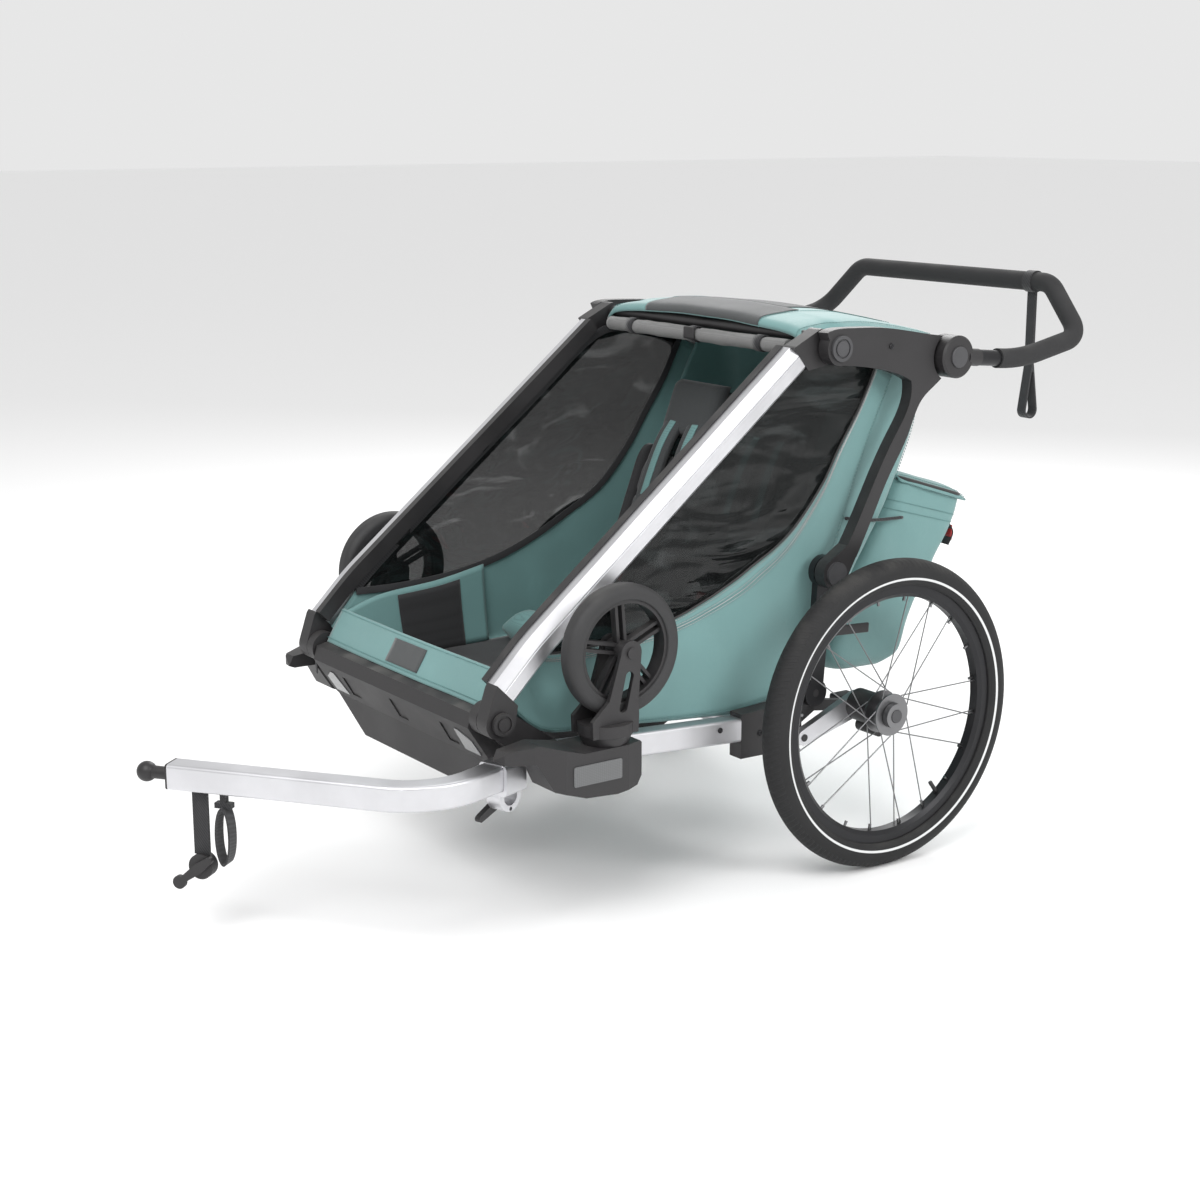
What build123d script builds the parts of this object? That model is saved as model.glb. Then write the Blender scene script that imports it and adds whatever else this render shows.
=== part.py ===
from build123d import *
import math
import os

# Two-seat child bicycle trailer. +Z is up, -Y is the direction of travel, +X is the trailer's left.
# The origin is on the ground, midway between the hitch ball's front and the handlebar's back.
# Side-view points are (back, up) pairs measured from the wheel axle.

# ---- overall sizes (mm)
HITCH_REACH = 1091.0  # axle to the front of the hitch ball
HANDLE_REACH = 493.0  # axle to the back of the handlebar
WHEEL_RADIUS = 250.0
FRAME_HALF = 290.0  # middle to the outer face of the side rails
WHEEL_GAP = 85.0  # outer face of the side rails to the wheel's middle plane

# ---- frame pivots, (back, up) from the axle
LOW_HINGE = (-668.0, 77.0)
TOP_PIVOT = (-63.0, 575.0)
MID_HINGE = (-62.0, 223.0)
STRUT_FOOT = (-76.0, 26.0)
HANDLE_PIVOT = (172.0, 548.0)
SUSPENSION_PIVOT = (-112.0, -38.0)

# ---- fits
RUN = 0.05  # radial clearance of a pin that turns in its bore
SLACK = 0.3  # gap between pieces that slide or lie against each other
LAYER_GAP = 2.0  # gap between links that pass side by side
PIN_R = 6.0
TOP_PIN_R = 7.0
HANDLE_PIN_R = 8.0

# ---- frame sections
RAIL_WIDTH = 26.0
RAIL_HEIGHT = 38.0
ARM_WIDTH = 26.0
ARM_DEPTH = 43.0
ARM_WALL = 2.5
LINK_THICK = 13.0
SHOULDER_THICK = 22.0
PLATE_THICK = 20.0
CROSS_TUBE_R = 15.0

# ---- wheels
TYRE_R = 23.5
TYRE_WALL = 3.0
RIM_DEPTH = 19.0
RIM_WIDTH = 26.0
HUB_LENGTH = 42.0
FLANGE_R = 34.0
STUB_R = 8.0
SPOKES = 20
SPOKE_R = 1.0

# ---- front caster wheels, stowed upright on the wings
CASTER_R = 98.0
CASTER_WIDTH = 34.0
CASTER_GAP = 43.0  # outer face of the side rails to the caster's middle plane
CASTER_X = FRAME_HALF + CASTER_GAP
CASTER_CENTRE = (-491.0, 170.0)
CASTER_POST = -518.0
WING_TOP = 36.0
PLUG_R = 15.0
PLUG_LENGTH = 26.0
CASTER_SPOKES = 5

# ---- handlebar
BAR_R = 13.0
GRIP_R = 16.0
BAR_WALL = 2.0
BAR_GAP = 28.0  # outer face of the side rails to the handlebar's side tubes
BAR_X = FRAME_HALF + BAR_GAP
BAR_HEIGHT = 645.0
HUB_DISC_R = 34.0

# ---- tow arm
TOW_SIZE = 38.0
TOW_WALL = 2.5
BALL_R = 15.0

# ---- soft parts
PANEL_THICK = 3.0
BAG_WALL = 4.0
SEAT_HALF = 228.0

# ---- places that follow from the sizes above
AXLE_Y = (HITCH_REACH - HANDLE_REACH) / 2
TRACK_HALF = FRAME_HALF + WHEEL_GAP
ARM_OUT = FRAME_HALF - LAYER_GAP
ARM_IN = ARM_OUT - ARM_WIDTH
ARM_MID = ARM_OUT - ARM_WIDTH / 2
PLATE_OUT = ARM_IN - 1.0
PLATE_IN = PLATE_OUT - PLATE_THICK
STRUT_IN = FRAME_HALF - LINK_THICK
SHOULDER_IN = FRAME_HALF + LAYER_GAP
SHOULDER_OUT = SHOULDER_IN + SHOULDER_THICK
CABIN_HALF = PLATE_IN - 3.0
PANEL_X = ARM_IN - 10.0
RIM_R = WHEEL_RADIUS - 2 * TYRE_R + 6.0
RIM_INNER_R = RIM_R - RIM_DEPTH
TYRE_RING_R = WHEEL_RADIUS - TYRE_R


def side(x):
    """Side-view plane at x, with its origin at the axle: first axis back, second axis up."""
    return Plane(origin=(x, AXLE_Y, WHEEL_RADIUS), x_dir=(0, 1, 0), z_dir=(1, 0, 0))


def level(height):
    """Level plane at a height above the axle, with its origin over the axle's middle."""
    return Plane(origin=(0, AXLE_Y, WHEEL_RADIUS + height))


def turning(x, centre):
    """Plane through a cross-axis at centre, (back, up): first axis +X, second axis the radius."""
    return Plane(
        origin=(x, AXLE_Y + centre[0], WHEEL_RADIUS + centre[1]), x_dir=(1, 0, 0), z_dir=(0, -1, 0)
    )


def cross_axis(centre):
    """Axis along +X through centre, (back, up)."""
    return Axis((0, AXLE_Y + centre[0], WHEEL_RADIUS + centre[1]), (1, 0, 0))


def space(x, back, up):
    """A point given from the axle, in the part's own frame."""
    return Vector(x, AXLE_Y + back, WHEEL_RADIUS + up)


def outline(*points, mode=Mode.ADD):
    """Closed face through side-view or plan points, inside a sketch block."""
    Polygon(*points, align=None, mode=mode)


def disc(centre, radius, mode=Mode.ADD):
    """Round face at centre, inside a sketch block."""
    with Locations(centre):
        Circle(radius, mode=mode)


def save(piece, name):
    """Label a finished piece and write it as its own STEP file."""
    piece.part.label = name
    export_step(piece.part, f"parts/{name}.step")


def save_twin(piece, name):
    """Write the mirror image of a left-hand piece as the right-hand one."""
    with BuildPart() as twin:
        mirror(piece.part, about=Plane.YZ)
    save(twin, name)


os.makedirs("parts", exist_ok=True)

# ================================================================ base frame
RAIL_FRONT = (-560.0, 10.0)
RAIL_BACK = (-228.0, -10.0)
FRONT_TUBE = (-585.0, 17.0)
BACK_TUBE = (-160.0, -30.0)


with BuildPart() as base_tubes:
    with BuildSketch(side(FRAME_HALF - RAIL_WIDTH)):
        half = RAIL_HEIGHT / 2
        outline(
            (RAIL_FRONT[0], RAIL_FRONT[1] - half),
            (RAIL_FRONT[0], RAIL_FRONT[1] + half),
            (RAIL_BACK[0], RAIL_BACK[1] + half),
            (RAIL_BACK[0], RAIL_BACK[1] - half),
        )
    extrude(amount=RAIL_WIDTH)
    long_edges = base_tubes.edges().sort_by(Axis.X)[-4:]
    fillet(long_edges.filter_by(GeomType.LINE).sort_by(SortBy.LENGTH)[-2:], 5)
    mirror(about=Plane.YZ)
    with BuildSketch(side(-PLATE_IN)) as tube_ends:
        for centre in (FRONT_TUBE, BACK_TUBE):
            disc(centre, CROSS_TUBE_R)
            disc(centre, CROSS_TUBE_R - ARM_WALL, Mode.SUBTRACT)
    extrude(amount=2 * PLATE_IN)
save(base_tubes, "base_tubes")

# Corner brackets join each rail's back end to the back cross tube, and carry the strut's eye
# and the suspension's pivot.
EYE_R = 22.0
PEDAL_PIVOT = (-84.0, -2.0)
BRACKET_BACK = STRUT_FOOT[0] - EYE_R - 7.0

with BuildPart() as corner_brackets:
    with BuildSketch(side(ARM_IN)):
        outline(
            (RAIL_BACK[0], -56.0),
            (RAIL_BACK[0], 16.0),
            (BRACKET_BACK - 20, 20.0),
            (BRACKET_BACK, 12.0),
            (BRACKET_BACK, -30.0),
            (SUSPENSION_PIVOT[0] + 2, -58.0),
        )
    extrude(amount=FRAME_HALF - ARM_IN)
    with BuildSketch(side(ARM_IN)):
        disc(STRUT_FOOT, EYE_R)
        outline(
            (BRACKET_BACK, 12.0),
            (BRACKET_BACK, -30.0),
            (STRUT_FOOT[0] + 10, STRUT_FOOT[1] - 34),
            (STRUT_FOOT[0] + EYE_R - 1, STRUT_FOOT[1]),
            (STRUT_FOOT[0] - 12, STRUT_FOOT[1] + 18),
        )
    extrude(amount=STRUT_IN - LAYER_GAP - ARM_IN)
    with BuildSketch(side(ARM_IN)):
        disc(STRUT_FOOT, PIN_R)
    extrude(amount=FRAME_HALF - ARM_IN)
    with BuildSketch(side(FRAME_HALF - 1)):
        disc(SUSPENSION_PIVOT, PIN_R)
    extrude(amount=LAYER_GAP + LINK_THICK + 3)
    with BuildSketch(side(ARM_IN)):
        disc(PEDAL_PIVOT, PIN_R + RUN)
    extrude(amount=11, mode=Mode.SUBTRACT)
    with BuildSketch(side(PLATE_IN)):
        disc(BACK_TUBE, CROSS_TUBE_R + 4)
    extrude(amount=ARM_IN - PLATE_IN)
    mirror(about=Plane.YZ)
save(corner_brackets, "corner_brackets")

# Front hinge housings hold the rails' front ends and carry the low hinge's pins.
HINGE_DISC_R = 25.0
HINGE_HEAD_R = 17.0

with BuildPart() as front_hinge_housings:
    with BuildSketch(side(PLATE_IN)):
        disc(LOW_HINGE, HINGE_DISC_R)
        outline(
            (RAIL_FRONT[0], RAIL_FRONT[1] - RAIL_HEIGHT / 2),
            (RAIL_FRONT[0], RAIL_FRONT[1] + RAIL_HEIGHT / 2),
            (LOW_HINGE[0] + 14, LOW_HINGE[1] + 18),
            (LOW_HINGE[0] - 14, LOW_HINGE[1] - 10),
            (FRONT_TUBE[0] - 15, RAIL_FRONT[1] - RAIL_HEIGHT / 2),
        )
    extrude(amount=PLATE_THICK)
    with BuildSketch(side(PLATE_OUT)):
        with Locations(((RAIL_FRONT[0] + FRONT_TUBE[0] - 13) / 2, RAIL_FRONT[1])):
            Rectangle(RAIL_FRONT[0] - FRONT_TUBE[0] + 13, RAIL_HEIGHT)
    extrude(amount=FRAME_HALF - PLATE_OUT)
    with BuildSketch(side(PLATE_OUT)):
        disc(LOW_HINGE, PIN_R)
    extrude(amount=FRAME_HALF + 3 - PLATE_OUT)
    with BuildSketch(side(FRAME_HALF + 1)):
        disc(LOW_HINGE, HINGE_HEAD_R)
    extrude(amount=6)
    with BuildSketch(side(FRAME_HALF + 5)):
        disc(LOW_HINGE, HINGE_HEAD_R - 4)
        disc(LOW_HINGE, HINGE_HEAD_R - 8, Mode.SUBTRACT)
    extrude(amount=4, mode=Mode.SUBTRACT)
    mirror(about=Plane.YZ)
save(front_hinge_housings, "front_hinge_housings")

# ================================================================ wings that carry the casters
WING_WIDTH = 78.0
WING_OUT = FRAME_HALF + WING_WIDTH
WING_BUTTON = (FRAME_HALF + 34, 9.0)
REFLECTOR_THICK = 1.5

with BuildPart() as left_wing:
    with BuildSketch(side(FRAME_HALF)):
        outline(
            (-700, 34), (-692, 50), (-645, 56), (-578, WING_TOP), (-474, WING_TOP), (-462, 26),
            (-462, -8), (-480, -30), (-520, -35), (-575, -31), (-626, -14), (-652, 30), (-690, 30),
        )
    extrude(amount=WING_OUT - FRAME_HALF)
    with BuildSketch(level(-60)):
        outline(
            (FRAME_HALF, -462), (FRAME_HALF, -590), (FRAME_HALF + 22, -645), (FRAME_HALF + 24, -700),
            (WING_OUT - 30, -694), (WING_OUT - 12, -655), (WING_OUT, -610), (WING_OUT, -500),
            (WING_OUT - 10, -470), (WING_OUT - 28, -462),
        )
    extrude(amount=140, mode=Mode.INTERSECT)
    with BuildSketch(level(WING_TOP)):
        disc((CASTER_X, CASTER_POST), PLUG_R + RUN)
    extrude(amount=-PLUG_LENGTH, mode=Mode.SUBTRACT)
    with BuildSketch(Plane(origin=space(0, -462, 0), x_dir=(-1, 0, 0), z_dir=(0, 1, 0))):
        disc((-WING_BUTTON[0], WING_BUTTON[1]), 8 + SLACK)
    extrude(amount=-13, mode=Mode.SUBTRACT)
save(left_wing, "left_wing")
save_twin(left_wing, "right_wing")

with BuildPart() as left_wing_button:
    with BuildSketch(Plane(origin=space(0, -470, 0), x_dir=(-1, 0, 0), z_dir=(0, 1, 0))):
        disc((-WING_BUTTON[0], WING_BUTTON[1]), 8)
    extrude(amount=16)
    chamfer(left_wing_button.edges().sort_by(Axis.Y)[-1], 2)
save(left_wing_button, "left_wing_button")
save_twin(left_wing_button, "right_wing_button")

# ================================================================ front bumper and footwell
BUMPER_WALL = 4.0
FACE_TOP = (-693.0, 62.0)
FACE_BOTTOM = (-652.0, 0.0)
FACE_LENGTH = math.dist(FACE_TOP, FACE_BOTTOM)
FACE_DOWN = ((FACE_BOTTOM[0] - FACE_TOP[0]) / FACE_LENGTH, (FACE_BOTTOM[1] - FACE_TOP[1]) / FACE_LENGTH)
FACE_OUT = (FACE_DOWN[1], -FACE_DOWN[0])
BUMPER_FACE = Plane(
    origin=space(0, (FACE_TOP[0] + FACE_BOTTOM[0]) / 2, (FACE_TOP[1] + FACE_BOTTOM[1]) / 2),
    x_dir=(1, 0, 0),
    z_dir=(0, FACE_OUT[0], FACE_OUT[1]),
)
BELLY_DEPTH = 58.0


def vents():
    """The bumper's slanted vents, inside a sketch block on its face."""
    for x in (-150, 0, 150):
        outline((x - 17, -22), (x + 12, -22), (x + 19, 20), (x - 10, 20))


def belly_view(wall):
    """The bumper and belly seen from the front, inside its walls by wall, inside a sketch block."""
    wide = CABIN_HALF - wall
    narrow = CABIN_HALF * 0.68 - wall
    outline(
        (-wide, 110), (-wide, 6), (-narrow, -BELLY_DEPTH - 4), (narrow, -BELLY_DEPTH - 4), (wide, 6), (wide, 110)
    )


with BuildPart() as front_bumper:
    with BuildSketch(side(-CABIN_HALF)):
        outline(
            (-664, 88), (-687, 84), FACE_TOP, FACE_BOTTOM, (-641, -BELLY_DEPTH), (-580, -BELLY_DEPTH),
            (-562, 0), (-622, 0), (-620, 40),
        )
    extrude(amount=2 * CABIN_HALF)
    with BuildSketch(Plane(origin=space(0, -720, 0), x_dir=(1, 0, 0), z_dir=(0, -1, 0))):
        belly_view(0)
    extrude(amount=-200, mode=Mode.INTERSECT)
    with BuildPart(mode=Mode.PRIVATE) as bumper_inside:
        with BuildSketch(side(-CABIN_HALF)):
            outline(
                (-655, 84), (-683.5, 80), (-688, 61), (-647, 0), (-637, -BELLY_DEPTH + BUMPER_WALL),
                (-582.5, -BELLY_DEPTH + BUMPER_WALL), (-566, 0), (-560, 10), (-600, 100), (-655, 100),
            )
        extrude(amount=2 * CABIN_HALF)
        with BuildSketch(Plane(origin=space(0, -720, 0), x_dir=(1, 0, 0), z_dir=(0, -1, 0))):
            belly_view(BUMPER_WALL)
        extrude(amount=-200, mode=Mode.INTERSECT)
    add(bumper_inside.part, mode=Mode.SUBTRACT)
    with BuildSketch(BUMPER_FACE):
        vents()
    extrude(amount=-2.2, mode=Mode.SUBTRACT)
save(front_bumper, "front_bumper")

with BuildPart() as reflectors:
    with BuildSketch(BUMPER_FACE):
        outline((178, -24), (222, -24), (222, 6), (196, 22), (186, 22))
    extrude(amount=REFLECTOR_THICK)
    with BuildSketch(side(WING_OUT)):
        with Locations((-555, 4)):
            RectangleRounded(84, 30, 3)
    extrude(amount=REFLECTOR_THICK)
    mirror(about=Plane.YZ)
save(reflectors, "reflectors")

# ================================================================ front frame: arms and roof bow
ARM_LOW = (-658.0, 118.0)
ARM_KNEE = (-600.0, 176.0)
ARM_TOP = (-122.0, 561.0)
ARM_BEND = 420.0
BOW = (-80.0, 590.0)
BOW_R = 9.0


def arm_start(x):
    """Plane square to the arm at its low end: first axis +X, second axis towards its underside."""
    run = Vector(0, ARM_KNEE[0] - ARM_LOW[0], ARM_KNEE[1] - ARM_LOW[1])
    return Plane(origin=space(x, *ARM_LOW), x_dir=(1, 0, 0), z_dir=run)


def arm_end():
    """Plane square to the arm at its top end, facing along the arm."""
    run = Vector(0, ARM_TOP[0] - ARM_KNEE[0], ARM_TOP[1] - ARM_KNEE[1])
    return Plane(origin=space(0, *ARM_TOP), x_dir=(1, 0, 0), z_dir=run)


with BuildPart() as front_arms:
    with BuildLine(side(ARM_MID)) as arm_run:
        FilletPolyline(ARM_LOW, ARM_KNEE, ARM_TOP, radius=ARM_BEND)
    with BuildSketch(arm_start(ARM_MID)):
        wide = ARM_WIDTH / 2
        deep = ARM_DEPTH / 2
        outline(
            (-wide, -deep), (wide - 10, -deep), (wide, -6), (wide, -5), (wide - 1.6, -4),
            (wide, -3), (wide, deep - 6), (wide - 6, deep), (-wide, deep),
        )
        outline(
            (-wide + ARM_WALL, -deep + ARM_WALL), (wide - 11.5, -deep + ARM_WALL), (wide - 4, -5),
            (wide - 4, deep - 8), (wide - 8, deep - ARM_WALL), (-wide + ARM_WALL, deep - ARM_WALL),
            mode=Mode.SUBTRACT,
        )
    sweep(path=arm_run.line)
    mirror(about=Plane.YZ)
save(front_arms, "front_arms")

with BuildPart() as arm_knuckles:
    with BuildSketch(side(ARM_IN)):
        disc(LOW_HINGE, HINGE_DISC_R)
        disc(ARM_LOW, ARM_DEPTH / 2)
        make_hull()
        disc(LOW_HINGE, PIN_R + RUN, Mode.SUBTRACT)
    extrude(amount=ARM_WIDTH + 1)
    split(bisect_by=arm_start(0), keep=Keep.BOTTOM)
    with BuildPart(mode=Mode.PRIVATE) as knuckle:
        with BuildSketch(side(ARM_IN)):
            disc(TOP_PIVOT, 26)
            disc(ARM_TOP, ARM_DEPTH / 2)
            disc(BOW, BOW_R + 5)
            make_hull()
            disc(TOP_PIVOT, TOP_PIN_R + RUN, Mode.SUBTRACT)
        extrude(amount=ARM_WIDTH + 1)
        split(bisect_by=arm_end(), keep=Keep.TOP)
    add(knuckle.part)
    mirror(about=Plane.YZ)
    with BuildSketch(side(-ARM_IN)):
        disc(BOW, BOW_R)
    extrude(amount=2 * ARM_IN)
save(arm_knuckles, "arm_knuckles")

TRIM_WIDTH = 14.0
TRIM_DEPTH = 24.0

with BuildPart() as arm_trims:
    with BuildLine(side(ARM_MID)) as trim_run:
        FilletPolyline(ARM_LOW, ARM_KNEE, ARM_TOP, radius=ARM_BEND)
    with BuildSketch(arm_start(ARM_MID)):
        with Locations((-ARM_WIDTH / 2 - SLACK - TRIM_WIDTH / 2, -TRIM_DEPTH / 2)):
            Rectangle(TRIM_WIDTH, TRIM_DEPTH)
    sweep(path=trim_run.line)
    mirror(about=Plane.YZ)
save(arm_trims, "arm_trims")

ROLL = (-101.0, 573.0)
ROLL_R = 13.0

with BuildPart() as cover_roll:
    with BuildSketch(side(-CABIN_HALF)):
        disc(ROLL, ROLL_R)
    extrude(amount=2 * CABIN_HALF)
save(cover_roll, "cover_roll")

# ================================================================ shoulders, struts and their pins
STEP_R = 40.0
THIN_THICK = 10.0
STRUT_LOW = (-32.0, 254.0)
MID_DISC_R = 25.0
TOP_DISC_R = 27.0


with BuildPart() as shoulder_frame:
    with BuildSketch(side(SHOULDER_IN)):
        with BuildLine():
            Spline((-92, 600), (-40, 605), (20, 602), (110, 588), (168, 580), tangents=((1, 0.5), (1, -0.1)))
            Line((168, 580), (172, 548))
            Spline((172, 548), (150, 514), (110, 484), (84, 434), (48, 374), (10, 302), (-20, 245))
            Line((-20, 245), (-46, 256))
            Spline((-46, 256), (-18, 302), (18, 370), (54, 430), (86, 492), (85, 515))
            Spline((85, 515), (31, 535), (-70, 550), tangents=((-1, 0.6), (-1, 0.1)))
            Line((-70, 550), (-92, 600))
        make_face()
        disc(TOP_PIVOT, TOP_DISC_R)
        disc(HANDLE_PIVOT, HUB_DISC_R)
    extrude(amount=SHOULDER_THICK)
    with BuildSketch(side(SHOULDER_IN)):
        disc(MID_HINGE, MID_DISC_R)
        disc(STRUT_LOW, 14)
        make_hull()
    extrude(amount=SHOULDER_THICK)
    with BuildSketch(side(SHOULDER_IN + THIN_THICK)):
        disc(HANDLE_PIVOT, STEP_R)
        with Locations((HANDLE_PIVOT[0] + 30, HANDLE_PIVOT[1])):
            Rectangle(60, 2 * STEP_R)
    extrude(amount=SHOULDER_THICK, mode=Mode.SUBTRACT)
    with BuildSketch(side(SHOULDER_IN)):
        disc(TOP_PIVOT, TOP_PIN_R + 0.1)
    extrude(amount=SHOULDER_THICK, mode=Mode.SUBTRACT)
    with BuildSketch(side(SHOULDER_IN)):
        disc(HANDLE_PIVOT, HANDLE_PIN_R)
    extrude(amount=THIN_THICK + 19)
    mirror(about=Plane.YZ)
save(shoulder_frame, "shoulder_frame")

with BuildPart() as pivot_pins:
    with BuildSketch(side(ARM_IN + 1)):
        disc(TOP_PIVOT, TOP_PIN_R)
    extrude(amount=SHOULDER_OUT - ARM_IN)
    with BuildSketch(side(SHOULDER_OUT)):
        disc(TOP_PIVOT, 20)
    extrude(amount=4)
    with BuildSketch(side(SHOULDER_OUT + 2)):
        disc(TOP_PIVOT, 15)
        disc(TOP_PIVOT, 12, Mode.SUBTRACT)
    extrude(amount=3, mode=Mode.SUBTRACT)
    with BuildSketch(side(SHOULDER_OUT)):
        disc(MID_HINGE, 19)
    extrude(amount=5)
    mirror(about=Plane.YZ)
save(pivot_pins, "pivot_pins")

with BuildPart() as lower_struts:
    with BuildSketch(side(STRUT_IN)):
        disc(STRUT_FOOT, 14)
        disc(MID_HINGE, 15)
        make_hull()
        disc(STRUT_FOOT, EYE_R)
        disc(MID_HINGE, MID_DISC_R)
        disc(STRUT_FOOT, PIN_R + RUN, Mode.SUBTRACT)
    extrude(amount=LINK_THICK)
    mirror(about=Plane.YZ)
save(lower_struts, "lower_struts")

# ================================================================ handlebar
HUB_IN = SHOULDER_IN + THIN_THICK + 1.0
HUB_THICK = 27.0
BUTTON_R = 17.0
BUTTON_TRAVEL = 3.0
BAR_AIM = (320.0, 534.0)
STRAP_WRAP = 2.5
BAR_BACK = HANDLE_REACH - GRIP_R - STRAP_WRAP
BAR_LOW = (BAR_BACK - 14, 563.0)
BAR_CORNER = 82.0
BAR_TOP_X = BAR_X - BAR_CORNER
REACH = math.dist(HANDLE_PIVOT, BAR_AIM)
BAR_RUN = ((BAR_AIM[0] - HANDLE_PIVOT[0]) / REACH, (BAR_AIM[1] - HANDLE_PIVOT[1]) / REACH)
BOSS_START = 24.0
BOSS_END = 52.0
GRIP_START = 96.0


def on_bar(distance):
    """Side-view point on the bar's first run, at a distance from the handle's pivot."""
    return (HANDLE_PIVOT[0] + BAR_RUN[0] * distance, HANDLE_PIVOT[1] + BAR_RUN[1] * distance)


def bar_path(start):
    """The handlebar's centre line from start on one side to the same place on the other."""
    left = [
        space(BAR_X, *on_bar(start)),
        space(BAR_X, *BAR_AIM),
        space(BAR_X, *BAR_LOW),
        space(BAR_TOP_X, BAR_BACK, BAR_HEIGHT),
    ]
    right = [Vector(-p.X, p.Y, p.Z) for p in reversed(left)]
    return FilletPolyline(*left, *right, radius=[300, 42, 42, 42, 42, 300])


def bar_start(start):
    """Plane square to the bar at start."""
    return Plane(origin=space(BAR_X, *on_bar(start)), x_dir=(1, 0, 0), z_dir=(0, BAR_RUN[0], BAR_RUN[1]))


with BuildPart() as handlebar_tube:
    with BuildLine() as tube_run:
        bar_path(BOSS_END)
    with BuildSketch(bar_start(BOSS_END)):
        Circle(BAR_R)
        Circle(BAR_R - BAR_WALL, mode=Mode.SUBTRACT)
    sweep(path=tube_run.line)
save(handlebar_tube, "handlebar_tube")

with BuildPart() as handlebar_grip:
    with BuildLine() as grip_run:
        bar_path(GRIP_START)
    with BuildSketch(bar_start(GRIP_START)):
        Circle(GRIP_R)
        Circle(BAR_R + SLACK, mode=Mode.SUBTRACT)
    sweep(path=grip_run.line)
save(handlebar_grip, "handlebar_grip")

with BuildPart() as handlebar_hubs:
    with BuildSketch(side(HUB_IN)):
        disc(HANDLE_PIVOT, HUB_DISC_R)
    extrude(amount=HUB_THICK)
    chamfer(handlebar_hubs.edges().sort_by(Axis.X)[-1], 3)
    with BuildSketch(bar_start(BOSS_START)):
        Circle(BAR_R + 1)
    extrude(amount=BOSS_END - BOSS_START)
    with BuildSketch(side(HUB_IN)):
        disc(HANDLE_PIVOT, HANDLE_PIN_R + RUN)
    extrude(amount=20, mode=Mode.SUBTRACT)
    with BuildSketch(side(HUB_IN + HUB_THICK)):
        disc(HANDLE_PIVOT, BUTTON_R + SLACK)
    extrude(amount=-BUTTON_TRAVEL - 3, mode=Mode.SUBTRACT)
    mirror(about=Plane.YZ)
save(handlebar_hubs, "handlebar_hubs")

with BuildPart() as left_handle_button:
    with BuildSketch(side(HUB_IN + HUB_THICK - 2.5)):
        disc(HANDLE_PIVOT, BUTTON_R)
    extrude(amount=5.5)
    fillet(left_handle_button.edges().sort_by(Axis.X)[-1], 1.5)
save(left_handle_button, "left_handle_button")
save_twin(left_handle_button, "right_handle_button")

STRAP_X = 196.0
STRAP_WIDTH = 18.0
STRAP_LENGTH = 235.0

with BuildPart() as wrist_strap:
    with BuildSketch(side(STRAP_X - STRAP_WIDTH / 2)):
        disc((BAR_BACK, BAR_HEIGHT), GRIP_R + STRAP_WRAP)
        with Locations((BAR_BACK, BAR_HEIGHT - GRIP_R - 65)):
            Rectangle(5, 132)
        disc((BAR_BACK, BAR_HEIGHT), GRIP_R + SLACK, Mode.SUBTRACT)
    extrude(amount=STRAP_WIDTH)
    with BuildSketch(side(STRAP_X - STRAP_WIDTH / 2)):
        disc((BAR_BACK, BAR_HEIGHT - STRAP_LENGTH + 15), 15)
        disc((BAR_BACK, BAR_HEIGHT - GRIP_R - 128), 3)
        make_hull()
    extrude(amount=STRAP_WIDTH)
    with BuildSketch(side(STRAP_X - STRAP_WIDTH / 2)):
        disc((BAR_BACK, BAR_HEIGHT - STRAP_LENGTH + 15), 12)
        disc((BAR_BACK, BAR_HEIGHT - GRIP_R - 140), 2)
        make_hull()
    extrude(amount=STRAP_WIDTH, mode=Mode.SUBTRACT)
save(wrist_strap, "wrist_strap")

# ================================================================ suspension and big wheels
DRUM_R = 26.0
LINK_IN = FRAME_HALF + 3.0
LINK_OUT = LINK_IN + LINK_THICK
HUB_X = TRACK_HALF - HUB_LENGTH / 2
DRUM_OUT = HUB_X - 2.0

with BuildPart() as left_suspension_arm:
    with BuildSketch(side(LINK_IN)):
        disc(SUSPENSION_PIVOT, 13)
        disc((0, 0), 20)
        make_hull()
        disc(SUSPENSION_PIVOT, PIN_R + RUN, Mode.SUBTRACT)
    extrude(amount=LINK_THICK)
save(left_suspension_arm, "left_suspension_arm")
save_twin(left_suspension_arm, "right_suspension_arm")

with BuildPart() as left_axle_housing:
    with BuildSketch(side(LINK_OUT)):
        disc((0, 0), DRUM_R)
        disc((6, -34), 11)
    extrude(amount=DRUM_OUT - LINK_OUT)
    with BuildSketch(side(DRUM_OUT)):
        disc((0, 0), STUB_R)
    extrude(amount=2 + HUB_LENGTH - 10)
save(left_axle_housing, "left_axle_housing")
save_twin(left_axle_housing, "right_axle_housing")

with BuildPart() as left_tyre:
    with BuildSketch(turning(TRACK_HALF, (0, 0))):
        disc((0, TYRE_RING_R), TYRE_R)
        disc((0, TYRE_RING_R), TYRE_R - TYRE_WALL, Mode.SUBTRACT)
        with Locations((0, RIM_R - 15)):
            Rectangle(3 * TYRE_R, 30, mode=Mode.SUBTRACT)
    revolve(axis=cross_axis((0, 0)))
save(left_tyre, "left_tyre")
save_twin(left_tyre, "right_tyre")

with BuildPart() as left_rim:
    with BuildSketch(turning(TRACK_HALF, (0, 0))):
        outline(
            (-RIM_WIDTH / 2, RIM_R), (-RIM_WIDTH / 2, RIM_INNER_R + 6), (-8, RIM_INNER_R),
            (8, RIM_INNER_R), (RIM_WIDTH / 2, RIM_INNER_R + 6), (RIM_WIDTH / 2, RIM_R),
            (RIM_WIDTH / 2 - 3, RIM_R), (RIM_WIDTH / 2 - 3, RIM_INNER_R + 9),
            (-RIM_WIDTH / 2 + 3, RIM_INNER_R + 9), (-RIM_WIDTH / 2 + 3, RIM_R),
        )
    revolve(axis=cross_axis((0, 0)))
save(left_rim, "left_rim")
save_twin(left_rim, "right_rim")

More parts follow.
